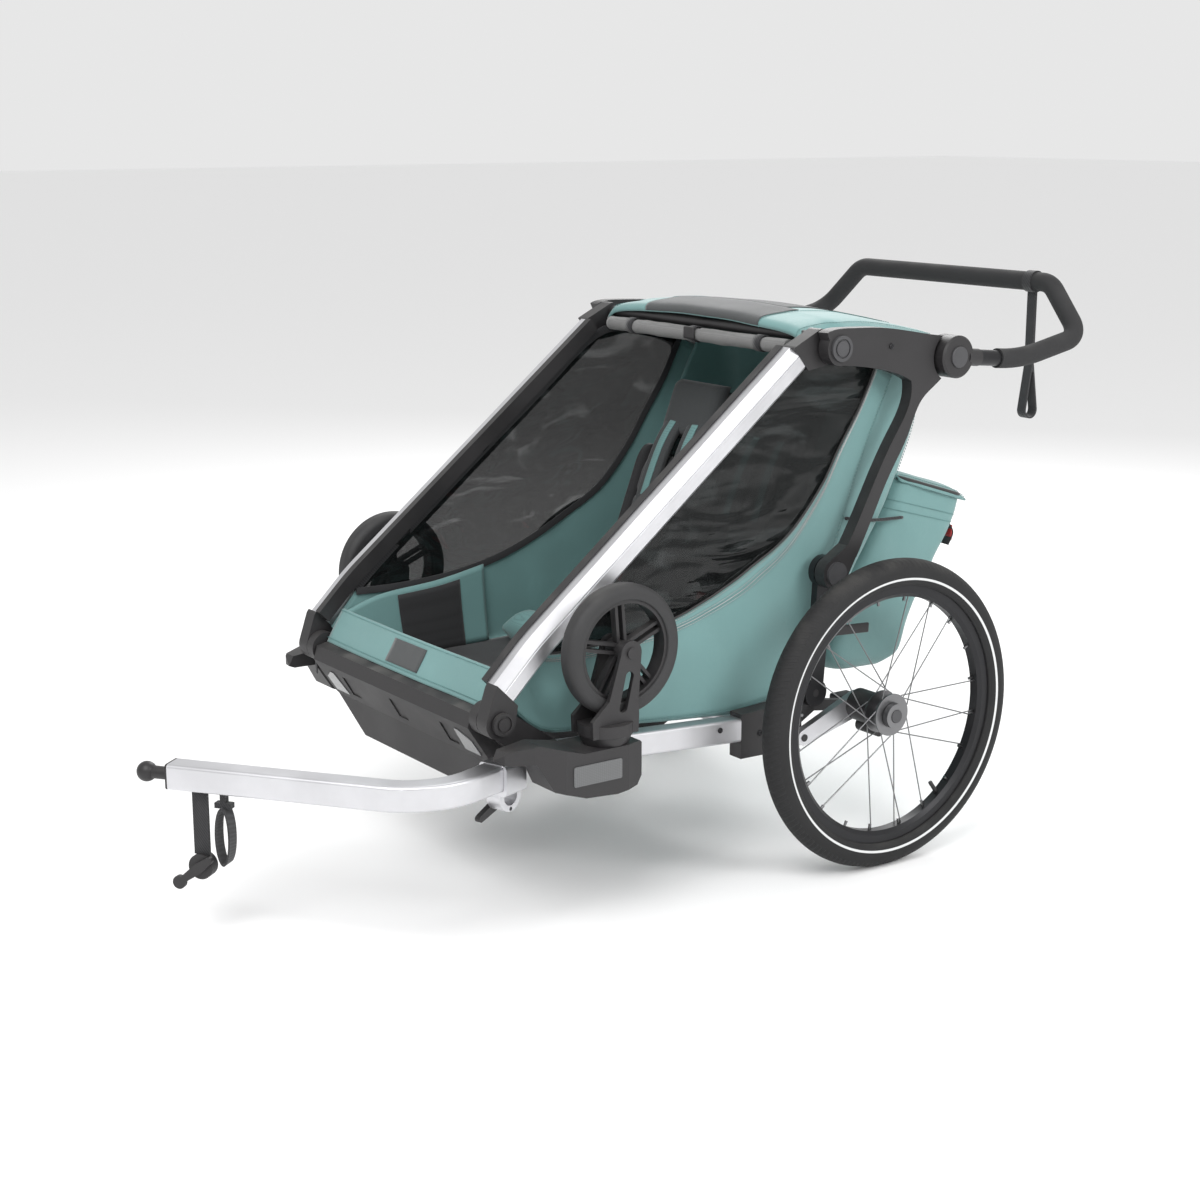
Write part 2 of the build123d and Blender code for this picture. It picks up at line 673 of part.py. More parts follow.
FLANGES = (-15.5, 8.5)

with BuildPart() as left_hub:
    with BuildSketch(turning(TRACK_HALF, (0, 0))):
        with Locations((0, 8)):
            Rectangle(HUB_LENGTH, 16)
        for flange in FLANGES:
            with Locations((flange, FLANGE_R / 2)):
                Rectangle(3, FLANGE_R)
        with Locations((HUB_LENGTH / 2 - 5, 10)):
            Rectangle(10, 20)
        with Locations((-HUB_LENGTH / 2 + 2, 10)):
            Rectangle(4, 20)
        with Locations((-5, (STUB_R + RUN) / 2)):
            Rectangle(HUB_LENGTH - 9, STUB_R + RUN, mode=Mode.SUBTRACT)
        with Locations((HUB_LENGTH / 2 - 3, 5.5)):
            Rectangle(6, 11, mode=Mode.SUBTRACT)
    revolve(axis=cross_axis((0, 0)))
save(left_hub, "left_hub")
save_twin(left_hub, "right_hub")

with BuildPart() as left_hub_button:
    with BuildSketch(side(TRACK_HALF + HUB_LENGTH / 2 - 3)):
        Circle(11 - SLACK)
    extrude(amount=5)
    fillet(left_hub_button.edges().sort_by(Axis.X)[-1], 1.5)
save(left_hub_button, "left_hub_button")
save_twin(left_hub_button, "right_hub_button")


def spoke_ends(number):
    """Where a spoke leaves its hub flange and where it meets the rim."""
    turn = 2 * math.pi / SPOKES * number
    lead = math.radians(58) * (1 if number % 4 < 2 else -1)
    flange = FLANGES[number % 2]
    inner = FLANGE_R + 1.0
    outer = RIM_INNER_R
    start = space(TRACK_HALF + flange, inner * math.cos(turn), inner * math.sin(turn))
    angle = turn + lead * 0.8
    end = space(TRACK_HALF + flange * 0.2, outer * math.cos(angle), outer * math.sin(angle))
    return start, end


with BuildPart() as left_spokes:
    for number in range(SPOKES):
        hub_end, rim_end = spoke_ends(number)
        with BuildSketch(Plane(origin=hub_end, z_dir=rim_end - hub_end)):
            Circle(SPOKE_R)
        extrude(amount=(rim_end - hub_end).length)
save(left_spokes, "left_spokes")
save_twin(left_spokes, "right_spokes")

# ================================================================ front casters
HOUSING_TOP = WING_TOP + 14.0
FORK_BASE = HOUSING_TOP + 0.5
FORK_TOP = CASTER_CENTRE[1] - CASTER_R - 4.0
LEG_GAP = CASTER_WIDTH / 2 + 4.0
LEG_THICK = 7.0
POST_R = 8.0

with BuildPart() as left_caster_housing:
    with BuildSketch(level(WING_TOP)):
        disc((CASTER_X, CASTER_POST), 34)
    with BuildSketch(level(HOUSING_TOP)):
        disc((CASTER_X, CASTER_POST), 40)
    loft()
    with BuildSketch(level(WING_TOP)):
        disc((CASTER_X, CASTER_POST), PLUG_R)
    extrude(amount=-PLUG_LENGTH + 1)
    with BuildSketch(level(HOUSING_TOP)):
        disc((CASTER_X, CASTER_POST), POST_R + RUN)
    extrude(amount=-22, mode=Mode.SUBTRACT)
save(left_caster_housing, "left_caster_housing")
save_twin(left_caster_housing, "right_caster_housing")


def leg_outline():
    """One leg of the caster's fork, inside a sketch block."""
    outline(
        (CASTER_POST - 40, FORK_BASE), (CASTER_POST - 41, FORK_BASE + 26), (CASTER_POST - 12, FORK_BASE + 52),
        (CASTER_CENTRE[0] - 18, CASTER_CENTRE[1]), (CASTER_CENTRE[0] + 18, CASTER_CENTRE[1]),
        (CASTER_POST + 40, FORK_BASE + 50), (CASTER_POST + 41, FORK_BASE + 26), (CASTER_POST + 40, FORK_BASE),
    )
    disc(CASTER_CENTRE, 18)


with BuildPart() as left_caster_fork:
    with BuildSketch(level(FORK_BASE)):
        disc((CASTER_X, CASTER_POST), 41)
    extrude(amount=FORK_TOP - FORK_BASE)
    with BuildSketch(level(FORK_BASE)):
        disc((CASTER_X, CASTER_POST), POST_R)
    extrude(amount=-20)
    with BuildSketch(side(CASTER_X + LEG_GAP)):
        leg_outline()
    extrude(amount=LEG_THICK)
    with BuildSketch(side(CASTER_X - LEG_GAP - LEG_THICK)):
        leg_outline()
    extrude(amount=LEG_THICK)
    with BuildSketch(side(CASTER_X - LEG_GAP - LEG_THICK)):
        disc((CASTER_POST + 13, FORK_BASE + 40), 7)
        disc((CASTER_CENTRE[0] - 3, CASTER_CENTRE[1] - 34), 7)
        make_hull()
    extrude(amount=2 * (LEG_GAP + LEG_THICK), mode=Mode.SUBTRACT)
    with BuildSketch(side(CASTER_X - LEG_GAP - 1)):
        disc(CASTER_CENTRE, PIN_R)
    extrude(amount=2 * LEG_GAP + 2)
    with BuildSketch(side(CASTER_X + LEG_GAP + LEG_THICK)):
        disc(CASTER_CENTRE, 8)
    extrude(amount=3)
save(left_caster_fork, "left_caster_fork")
save_twin(left_caster_fork, "right_caster_fork")

ARM_START = 12.0
ARM_END = CASTER_R - 26.0
ARM_MIDDLE = (ARM_START + ARM_END) / 2

with BuildPart() as left_caster_wheel:
    with BuildSketch(turning(CASTER_X, CASTER_CENTRE)):
        with Locations((0, CASTER_R - 25.5)):
            Rectangle(CASTER_WIDTH - 8, 5)
        with Locations((0, (14 + PIN_R + RUN) / 2)):
            Rectangle(CASTER_WIDTH + 4, 14 - PIN_R - RUN)
    revolve(axis=cross_axis(CASTER_CENTRE))
    for number in range(CASTER_SPOKES):
        turn = math.radians(95 + 360 / CASTER_SPOKES * number)
        for shift in (-6, 6):
            middle = (
                CASTER_CENTRE[0] + ARM_MIDDLE * math.cos(turn) - shift * math.sin(turn),
                CASTER_CENTRE[1] + ARM_MIDDLE * math.sin(turn) + shift * math.cos(turn),
            )
            with BuildSketch(side(CASTER_X - 6)):
                with Locations(Location(middle, math.degrees(turn))):
                    Rectangle(ARM_END - ARM_START, 5)
            extrude(amount=12)
save(left_caster_wheel, "left_caster_wheel")
save_twin(left_caster_wheel, "right_caster_wheel")

with BuildPart() as left_caster_tyre:
    with BuildSketch(turning(CASTER_X, CASTER_CENTRE)) as tyre_section:
        with Locations((0, CASTER_R - 11.5)):
            Rectangle(CASTER_WIDTH, 23)
        fillet(tyre_section.vertices().group_by(Axis.Y)[-1], 12)
        fillet(tyre_section.vertices().group_by(Axis.Y)[0], 3)
    revolve(axis=cross_axis(CASTER_CENTRE))
save(left_caster_tyre, "left_caster_tyre")
save_twin(left_caster_tyre, "right_caster_tyre")

# ================================================================ tow arm and hitch
TOW_ROOT = (FRAME_HALF - 15, -640.0)
TOW_BEND = (FRAME_HALF + 40, -804.0)
BALL = (-23.0, -HITCH_REACH + BALL_R)
TOW_BEND_R = 110.0
TOW_RUN = Vector(TOW_BEND[0] - TOW_ROOT[0], TOW_BEND[1] - TOW_ROOT[1], 0).normalized()
TIP_RUN = Vector(BALL[0] - TOW_BEND[0], BALL[1] - TOW_BEND[1], 0).normalized()
NECK = 42.0
NECK_R = 9.5
TIP = (BALL[0] - TIP_RUN.X * NECK, BALL[1] - TIP_RUN.Y * NECK)


def along_tip(distance, height=0.0):
    """Upright plane along the tow arm's front run, at a distance behind the ball: first axis forward."""
    place = (BALL[0] - TIP_RUN.X * distance, BALL[1] - TIP_RUN.Y * distance)
    return Plane(origin=space(*place, height), x_dir=TIP_RUN, z_dir=(TIP_RUN.Y, -TIP_RUN.X, 0))


def across_tow(x, back, run):
    """Plane square to a run of the tow arm."""
    return Plane(origin=space(x, back, 0), x_dir=(0, 0, 1), z_dir=run)


with BuildPart() as tow_arm:
    with BuildLine(level(0)) as tow_line:
        FilletPolyline(TOW_ROOT, TOW_BEND, TIP, radius=TOW_BEND_R)
    with BuildSketch(across_tow(*TOW_ROOT, TOW_RUN)):
        RectangleRounded(TOW_SIZE, TOW_SIZE, 5)
        RectangleRounded(TOW_SIZE - 2 * TOW_WALL, TOW_SIZE - 2 * TOW_WALL, 3, mode=Mode.SUBTRACT)
    sweep(path=tow_line.line)
save(tow_arm, "tow_arm")

with BuildPart() as hitch_ball:
    with BuildSketch(along_tip(0)):
        Circle(BALL_R)
        with Locations((-NECK / 2, 0)):
            Rectangle(NECK, 2 * NECK_R)
        with Locations((0, -BALL_R)):
            Rectangle(3 * NECK, 2 * BALL_R, mode=Mode.SUBTRACT)
    revolve(axis=Axis(space(*BALL, 0), TIP_RUN))
    with BuildSketch(across_tow(*TIP, TIP_RUN)):
        RectangleRounded(TOW_SIZE, TOW_SIZE, 5)
    extrude(amount=3)
save(hitch_ball, "hitch_ball")

STRAP_DROP = 98.0
CUP_DROP = STRAP_DROP + 17.0
HALF_TOW = TOW_SIZE / 2
CUP_PLACE = 92.0
CUP_R = 19.0

with BuildPart() as hitch_strap:
    with BuildSketch(along_tip(CUP_PLACE - 8, -HALF_TOW)):
        with Locations((0, -STRAP_DROP / 2)):
            Rectangle(24, STRAP_DROP)
    extrude(amount=2.5, both=True)
    with BuildSketch(along_tip(CUP_PLACE + 30, -HALF_TOW)):
        outline((-4, 0), (4, 0), (4, -18), (-4, -18))
        outline((-13, -16), (13, -16), (13, -24), (-13, -24))
    extrude(amount=6, both=True)
    with BuildSketch(along_tip(CUP_PLACE + 30, -HALF_TOW)):
        with Locations((0, -66)):
            Ellipse(12, 44)
            Ellipse(9, 41, mode=Mode.SUBTRACT)
    extrude(amount=11, both=True)
save(hitch_strap, "hitch_strap")

with BuildPart() as hitch_cup:
    with BuildSketch(along_tip(CUP_PLACE - 8, -HALF_TOW - CUP_DROP)):
        Circle(CUP_R)
        disc((0, 0), 5 + RUN, Mode.SUBTRACT)
    extrude(amount=9, both=True)
save(hitch_cup, "hitch_cup")

LEVER_RUN = (0.79, -0.61)

with BuildPart() as hitch_lever:
    with BuildSketch(along_tip(CUP_PLACE - 8, -HALF_TOW - CUP_DROP)):
        Circle(5)
    extrude(amount=11, both=True)
    with BuildSketch(along_tip(CUP_PLACE - 8, -HALF_TOW - CUP_DROP).offset(-17)):
        disc((0, 0), 8)
        disc((LEVER_RUN[0] * -22, LEVER_RUN[1] * -22), 5)
        make_hull()
        disc((LEVER_RUN[0] * 34, LEVER_RUN[1] * 34), 5)
        make_hull()
        disc((LEVER_RUN[0] * 40, LEVER_RUN[1] * 40), 10)
    extrude(amount=7)
save(hitch_lever, "hitch_lever")

SOCKET_SIZE = TOW_SIZE + 12.0
SOCKET_MOUTH = 46.0
SOCKET_SIDE = Plane(origin=space(*TOW_ROOT, 0), x_dir=TOW_RUN, z_dir=(TOW_RUN.Y, -TOW_RUN.X, 0))
RING_HALF = 13.0
LOCK_PIVOT = (SOCKET_MOUTH - 24, -HALF_TOW - 32)
LOCK_PIN_R = 3.0

with BuildPart() as tow_arm_socket:
    with BuildSketch(across_tow(*TOW_ROOT, TOW_RUN)):
        with Locations((-3, 0)):
            RectangleRounded(SOCKET_SIZE - 4, SOCKET_SIZE, 6)
        RectangleRounded(TOW_SIZE + 2 * SLACK, TOW_SIZE + 2 * SLACK, 5, mode=Mode.SUBTRACT)
    extrude(amount=SOCKET_MOUTH)
    with BuildSketch(SOCKET_SIDE):
        with Locations((SOCKET_MOUTH - 24, -HALF_TOW - 12)):
            Circle(24)
            Circle(15, mode=Mode.SUBTRACT)
        with Locations((SOCKET_MOUTH - 24, -HALF_TOW + 18)):
            Rectangle(60, 48, mode=Mode.SUBTRACT)
        disc(LOCK_PIVOT, LOCK_PIN_R + RUN, Mode.SUBTRACT)
    extrude(amount=RING_HALF, both=True)
save(tow_arm_socket, "tow_arm_socket")

with BuildPart() as tow_lock_lever:
    with BuildSketch(SOCKET_SIDE.offset(RING_HALF + SLACK)):
        disc(LOCK_PIVOT, 7)
        disc((LOCK_PIVOT[0] + 34, LOCK_PIVOT[1] - 12), 5)
        make_hull()
    extrude(amount=9)
    with BuildSketch(SOCKET_SIDE.offset(RING_HALF + SLACK)):
        disc(LOCK_PIVOT, LOCK_PIN_R)
    extrude(amount=-12)
save(tow_lock_lever, "tow_lock_lever")

# ================================================================ parking brake pedal
PEDAL_IN = PLATE_IN - 4.0

with BuildPart() as brake_pedal:
    with BuildSketch(side(PEDAL_IN)):
        disc(PEDAL_PIVOT, 10)
        disc((62, -26), 8)
        make_hull()
    extrude(amount=12)
    with BuildSketch(side(PEDAL_IN - 56)):
        with Locations((70, -27)):
            RectangleRounded(40, 14, 4)
    extrude(amount=68)
    with BuildSketch(side(PEDAL_IN)):
        disc(PEDAL_PIVOT, PIN_R)
    extrude(amount=ARM_IN - PEDAL_IN + 10)
save(brake_pedal, "brake_pedal")

# ================================================================ soft parts
with BuildPart() as front_band:
    with BuildSketch(side(-CABIN_HALF)):
        outline((-640, 138), (-671, 89), (-667, 89), (-636, 137))
    extrude(amount=2 * CABIN_HALF)
save(front_band, "front_band")

with BuildPart() as floor_panel:
    with BuildSketch(level(32)):
        with Locations((0, -350)):
            Rectangle(2 * CABIN_HALF - 4, 380)
    extrude(amount=5)
save(floor_panel, "floor_panel")

with BuildPart() as seat_cushion:
    with BuildSketch(side(-SEAT_HALF)):
        outline((-350, 45), (-350, 84), (-330, 96), (-120, 76), (-112, 45))
    extrude(amount=2 * SEAT_HALF)
save(seat_cushion, "seat_cushion")

with BuildPart() as seat_back:
    with BuildSketch(side(-SEAT_HALF)):
        outline((-108, 60), (-116, 92), (60, 540), (130, 540), (172, 454), (138, 345), (-40, 45))
    extrude(amount=2 * SEAT_HALF)
save(seat_back, "seat_back")

with BuildPart() as side_panels:
    with BuildSketch(side(PANEL_X)):
        outline(
            (-552, 38), (-552, 108), (-610, 160), (-130, 538), (-60, 556), (100, 540), (150, 500),
            (172, 454), (140, 345), (80, 320), (-20, 60), (-60, 52), (-130, 22), (-228, 14), (-400, 30),
        )
    extrude(amount=PANEL_THICK)
    mirror(about=Plane.YZ)
save(side_panels, "side_panels")

with BuildPart() as roof_canopy:
    with BuildSketch(side(-ARM_IN)):
        with BuildLine():
            Spline((-76, 602), (20, 608), (110, 594), (174, 578))
            Polyline((174, 578), (173, 572))
            Spline((173, 572), (110, 588), (20, 602), (-76, 600))
            Line((-76, 600), (-76, 602))
        make_face()
    extrude(amount=2 * ARM_IN)
save(roof_canopy, "roof_canopy")

LID_HINGE = (147.0, 349.0)
LID_BACK = (304.0, 302.0)

with BuildPart() as cargo_bag:
    with BuildSketch(side(-CABIN_HALF)):
        outline(
            (144, 344), (300, 296), (288, 270), (234, 190), (196, 110), (172, 50), (150, 30), (112, 20),
            (20, 20), (6, 34), (10, 120),
        )
    extrude(amount=2 * CABIN_HALF)
    with BuildSketch(side(-CABIN_HALF + BAG_WALL)):
        outline(
            (158, 360), (293, 312), (283, 272), (230, 192), (192, 112), (168, 53), (148, 34), (112, 24),
            (22, 24), (11, 36), (15, 120),
        )
    extrude(amount=2 * (CABIN_HALF - BAG_WALL), mode=Mode.SUBTRACT)
save(cargo_bag, "cargo_bag")

with BuildPart() as cargo_lid:
    with BuildSketch(side(-CABIN_HALF)):
        outline(
            (LID_HINGE[0], LID_HINGE[1] - 4), (LID_HINGE[0], LID_HINGE[1] + 1),
            (LID_BACK[0], LID_BACK[1] + 1), (LID_BACK[0], LID_BACK[1] - 4),
        )
    extrude(amount=2 * CABIN_HALF)
save(cargo_lid, "cargo_lid")
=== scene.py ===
"""The child bicycle trailer's looks: fabrics, windows, seats, bag, trims and finishes round its frame."""

import logging
import math
from dataclasses import dataclass
from enum import Enum
from typing import Callable, Sequence

import bmesh
import bpy
from mathutils import Matrix, Vector, noise


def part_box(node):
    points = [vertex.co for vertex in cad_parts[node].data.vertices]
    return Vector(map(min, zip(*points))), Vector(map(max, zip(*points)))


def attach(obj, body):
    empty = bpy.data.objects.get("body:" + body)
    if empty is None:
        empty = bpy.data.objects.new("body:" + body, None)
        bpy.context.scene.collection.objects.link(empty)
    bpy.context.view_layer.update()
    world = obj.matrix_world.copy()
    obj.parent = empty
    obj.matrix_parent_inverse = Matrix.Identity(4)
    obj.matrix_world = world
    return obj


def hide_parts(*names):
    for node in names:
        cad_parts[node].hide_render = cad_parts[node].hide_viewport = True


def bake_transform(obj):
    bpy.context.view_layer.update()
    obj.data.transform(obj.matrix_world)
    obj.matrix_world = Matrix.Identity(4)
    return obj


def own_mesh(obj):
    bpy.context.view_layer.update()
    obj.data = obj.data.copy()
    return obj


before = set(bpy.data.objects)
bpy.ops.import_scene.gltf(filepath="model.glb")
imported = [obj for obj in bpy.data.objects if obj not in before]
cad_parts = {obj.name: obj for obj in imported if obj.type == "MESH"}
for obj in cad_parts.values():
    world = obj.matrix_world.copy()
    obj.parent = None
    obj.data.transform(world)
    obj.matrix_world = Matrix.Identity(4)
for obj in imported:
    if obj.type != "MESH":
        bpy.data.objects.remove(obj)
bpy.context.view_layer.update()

LOG = logging.getLogger("trailer")
MM = 0.001
TYRE_LOW, TYRE_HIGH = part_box("left_tyre")
AXLE_Y = (TYRE_LOW.y + TYRE_HIGH.y) / 2
AXLE_Z = (TYRE_LOW.z + TYRE_HIGH.z) / 2
TRACK_X = (TYRE_LOW.x + TYRE_HIGH.x) / 2
FABRIC = 0.0016
FILM_THICK = 0.0006
ACROSS = Vector((1, 0, 0))
UPWARD = Vector((0, 0, 1))

Point = tuple[float, float]


class Side(Enum):
    """The trailer's two sides, as the sign of X."""

    LEFT = 1
    RIGHT = -1


class Weave(Enum):
    """What a cloth's pattern follows."""

    SHEET = "uv"
    BODY = "object"


def at(x: float, back: float, up: float) -> Vector:
    """A point given in millimetres from the wheel axle's middle, in the trailer's frame.

    Args:
        x: distance towards the trailer's left.
        back: distance behind the axle.
        up: height above the axle.

    Returns:
        The point in metres.
    """
    return Vector((x * MM, AXLE_Y + back * MM, AXLE_Z + up * MM))


def trace(points: Sequence[Vector], count: int) -> list[Vector]:
    """A smooth line through points, evenly divided.

    Args:
        points: what the line passes through, in order.
        count: how many points to give back.

    Returns:
        The evenly spaced points, ends included.
    """
    ends = [points[0] * 2 - points[1], *points, points[-1] * 2 - points[-2]]
    dense: list[Vector] = []
    for i in range(1, len(ends) - 2):
        a, b, c, d = ends[i - 1 : i + 3]
        for k in range(24):
            t = k / 24
            square, cube = 2 * a - 5 * b + 4 * c - d, 3 * b - a - 3 * c + d
            dense.append(0.5 * (2 * b + (c - a) * t + square * t * t + cube * t**3))
    dense.append(points[-1].copy())
    return spaced(dense, count)


def spaced(line: Sequence[Vector], count: int) -> list[Vector]:
    """A line's points moved to even distances along it.

    Args:
        line: the points as they are.
        count: how many points to give back.

    Returns:
        The evenly spaced points, ends included.
    """
    run = [0.0]
    for a, b in zip(line, line[1:]):
        run.append(run[-1] + (b - a).length)
    out, j = [], 0
    for k in range(count):
        want = run[-1] * k / (count - 1)
        while j < len(run) - 2 and run[j + 1] < want:
            j += 1
        gap = max(run[j + 1] - run[j], 1e-9)
        out.append(line[j].lerp(line[j + 1], min(1.0, (want - run[j]) / gap)))
    return out


def side_view(points: Sequence[Point]) -> list[Vector]:
    """Side-view points, (back, up) in millimetres from the axle, ready for trace."""
    return [Vector((back, up, 0)) for back, up in points]


def ripple(p: Vector, size: float, height: float, seed: float = 0.0) -> float:
    """A gentle unevenness of cloth at a point: size is the fold's width and height its depth, in metres."""
    return height * noise.noise(Vector((p.x / size + seed, p.y / size, p.z / size)))


# ---------------------------------------------------------------- mesh making


def piece(
    name: str, verts: Sequence[Vector], faces: Sequence[Sequence[int]], uvs: Sequence[Point] | None = None,
) -> bpy.types.Object:
    """A new mesh object at the origin, smooth shaded.

    Args:
        name: the piece's name.
        verts: its corners, in the trailer's frame.
        faces: its faces, as indices of corners.
        uvs: one place on the cloth, in metres, for each corner.

    Returns:
        The new object.
    """
    mesh = bpy.data.meshes.new(name)
    mesh.from_pydata([tuple(v) for v in verts], [], [tuple(f) for f in faces])
    if uvs is not None:
        layer = mesh.uv_layers.new(name="cloth")
        for loop in mesh.loops:
            layer.data[loop.index].uv = uvs[loop.vertex_index]
    mesh.polygons.foreach_set("use_smooth", [True] * len(mesh.polygons))
    obj = bpy.data.objects.new(name, mesh)
    bpy.context.scene.collection.objects.link(obj)
    return obj


def face_outward(obj: bpy.types.Object) -> bpy.types.Object:
    """Merge doubles and turn every face of a closed piece outwards.

    Args:
        obj: the piece.

    Returns:
        The same object.
    """
    bm = bmesh.new()
    bm.from_mesh(obj.data)
    bmesh.ops.remove_doubles(bm, verts=bm.verts, dist=1e-6)
    bmesh.ops.recalc_face_normals(bm, faces=bm.faces)
    bm.to_mesh(obj.data)
    bm.free()
    return obj


def cloth_grid(
    name: str, rows: Sequence[Sequence[Vector]], outward: Vector, ring: bool = False, thick: float = FABRIC,
) -> bpy.types.Object:
    """A sheet of cloth through a grid of points, given its thickness.

    Args:
        name: the piece's name.
        rows: the grid, each row the same length.
        outward: roughly the way its outer face looks.
        ring: whether each row closes on itself.
        thick: the cloth's thickness.

    Returns:
        The new object, with its UV map in metres.
    """
    wide = len(rows[0])
    verts = [p for row in rows for p in row]
    middle = rows[len(rows) // 2]
    across = [0.0]
    for a, b in zip(middle, middle[1:]):
        across.append(across[-1] + (b - a).length)
    down = [0.0]
    for a, b in zip(rows, rows[1:]):
        down.append(down[-1] + (b[wide // 2] - a[wide // 2]).length)
    uvs = [(across[i], down[j]) for j in range(len(rows)) for i in range(wide)]
    faces = []
    for j in range(len(rows) - 1):
        for i in range(wide if ring else wide - 1):
            k = (i + 1) % wide
            faces.append((j * wide + i, j * wide + k, (j + 1) * wide + k, (j + 1) * wide + i))
    obj = piece(name, verts, faces, uvs)
    total = Vector((0, 0, 0))
    for polygon in obj.data.polygons:
        total += polygon.normal * polygon.area
    if ring:
        centre = sum(verts, Vector()) / len(verts)
        total = Vector((0, 0, sum(p.normal.dot(p.center - centre) * p.area for p in obj.data.polygons)))
        outward = Vector((0, 0, 1))
    if total.dot(outward) < 0:
        obj.data.flip_normals()
    if thick:
        wall = obj.modifiers.new("thickness", "SOLIDIFY")
        wall.thickness = thick
        wall.offset = -1
    return obj


def turned_frame(line: Sequence[Vector], i: int, hint: Vector) -> tuple[Vector, Vector]:
    """Two directions square to a line at one of its points.

    Args:
        line: the line's points.
        i: which point.
        hint: roughly the first direction.

    Returns:
        The direction nearest hint, and the one square to it and to the line.
    """
    ahead = (line[min(i + 1, len(line) - 1)] - line[max(i - 1, 0)]).normalized()
    first = (hint - ahead * hint.dot(ahead)).normalized()
    return first, ahead.cross(first)


def cord_mesh(
    name: str, line: Sequence[Vector], radius: float, hint: Vector = Vector((0.11, 0.31, 0.94)),
    sides: int = 8, loop: bool = False,
) -> bpy.types.Object:
    """A round cord or wire along a line, closed at its ends.

    Args:
        name: the piece's name.
        line: its centre line.
        radius: its radius.
        hint: any direction that the line never follows.
        sides: how many sides its section has.
        loop: whether it runs back into its start.

    Returns:
        The new object.
    """
    verts, faces = [], []
    count = len(line)
    for i, p in enumerate(line):
        if loop:
            ahead = (line[(i + 1) % count] - line[i - 1]).normalized()
            first = (hint - ahead * hint.dot(ahead)).normalized()
            second = ahead.cross(first)
        else:
            first, second = turned_frame(line, i, hint)
        for k in range(sides):
            turn = 2 * math.pi * k / sides
            verts.append(p + (first * math.cos(turn) + second * math.sin(turn)) * radius)
    for i in range(count if loop else count - 1):
        j = (i + 1) % count
        for k in range(sides):
            m = (k + 1) % sides
            faces.append((i * sides + k, i * sides + m, j * sides + m, j * sides + k))
    if not loop:
        faces.append(tuple(reversed(range(sides))))
        faces.append(tuple(range((count - 1) * sides, count * sides)))
    return face_outward(piece(name, verts, faces))


def strap_mesh(
    name: str, line: Sequence[Vector], width: float, thick: float, flat: Vector,
) -> bpy.types.Object:
    """A flat strap along a line.

    Args:
        name: the piece's name.
        line: its centre line.
        width: its width, along flat.
        thick: its thickness.
        flat: roughly the way its width runs.

    Returns:
        The new object, with a UV map in metres along it.
    """
    verts, uvs, faces = [], [], []
    run = 0.0
    for i, p in enumerate(line):
        run += (p - line[i - 1]).length if i else 0.0
        wide, up = turned_frame(line, i, flat)
        for a, b in ((-1, -1), (1, -1), (1, 1), (-1, 1)):
            verts.append(p + wide * a * width / 2 + up * b * thick / 2)
            uvs.append((a * width / 2, run))
    for i in range(len(line) - 1):
        for k in range(4):
            m = (k + 1) % 4
            faces.append((i * 4 + k, i * 4 + m, i * 4 + 4 + m, i * 4 + 4 + k))
    faces.append((3, 2, 1, 0))
    last = len(line) * 4 - 4
    faces.append((last, last + 1, last + 2, last + 3))
    obj = piece(name, verts, faces, uvs)
    bm = bmesh.new()
    bm.from_mesh(obj.data)
    bmesh.ops.recalc_face_normals(bm, faces=bm.faces)
    bm.to_mesh(obj.data)
    bm.free()
    soften(obj, thick * 0.3, 2)
    return obj


def soften(obj: bpy.types.Object, width: float, steps: int = 2) -> bpy.types.Object:
    """Round a piece's sharp edges.

    Args:
        obj: the piece.
        width: the rounding's width, in metres.
        steps: how many steps it has.

    Returns:
        The same object.
    """
    edge = obj.modifiers.new("edges", "BEVEL")
    edge.width = width
    edge.segments = steps
    edge.limit_method = "ANGLE"
    edge.angle_limit = math.radians(35)
    return obj


def block(
    name: str, centre: Vector, size: Vector, ahead: Vector = Vector((0, 1, 0)),
    up: Vector = Vector((0, 0, 1)), edge: float = 0.003,
) -> bpy.types.Object:
    """A moulded block with rounded edges.

    Args:
        name: the piece's name.
        centre: its middle.
        size: its width, length along ahead, and height.
        ahead: the way its length runs.
        up: roughly the way its height runs.
        edge: the radius of its edges.

    Returns:
        The new object.
    """
    y = ahead.normalized()
    z = (up - y * up.dot(y)).normalized()
    x = y.cross(z)
    signs = [(a, b, c) for a in (-1, 1) for b in (-1, 1) for c in (-1, 1)]
    verts = [centre + x * a * size.x / 2 + y * b * size.y / 2 + z * c * size.z / 2 for a, b, c in signs]
    faces = [(0, 1, 3, 2), (4, 6, 7, 5), (0, 4, 5, 1), (2, 3, 7, 6), (0, 2, 6, 4), (1, 5, 7, 3)]
    obj = face_outward(piece(name, verts, faces))
    obj.data.polygons.foreach_set("use_smooth", [True] * 6)
    return soften(obj, edge, 3)


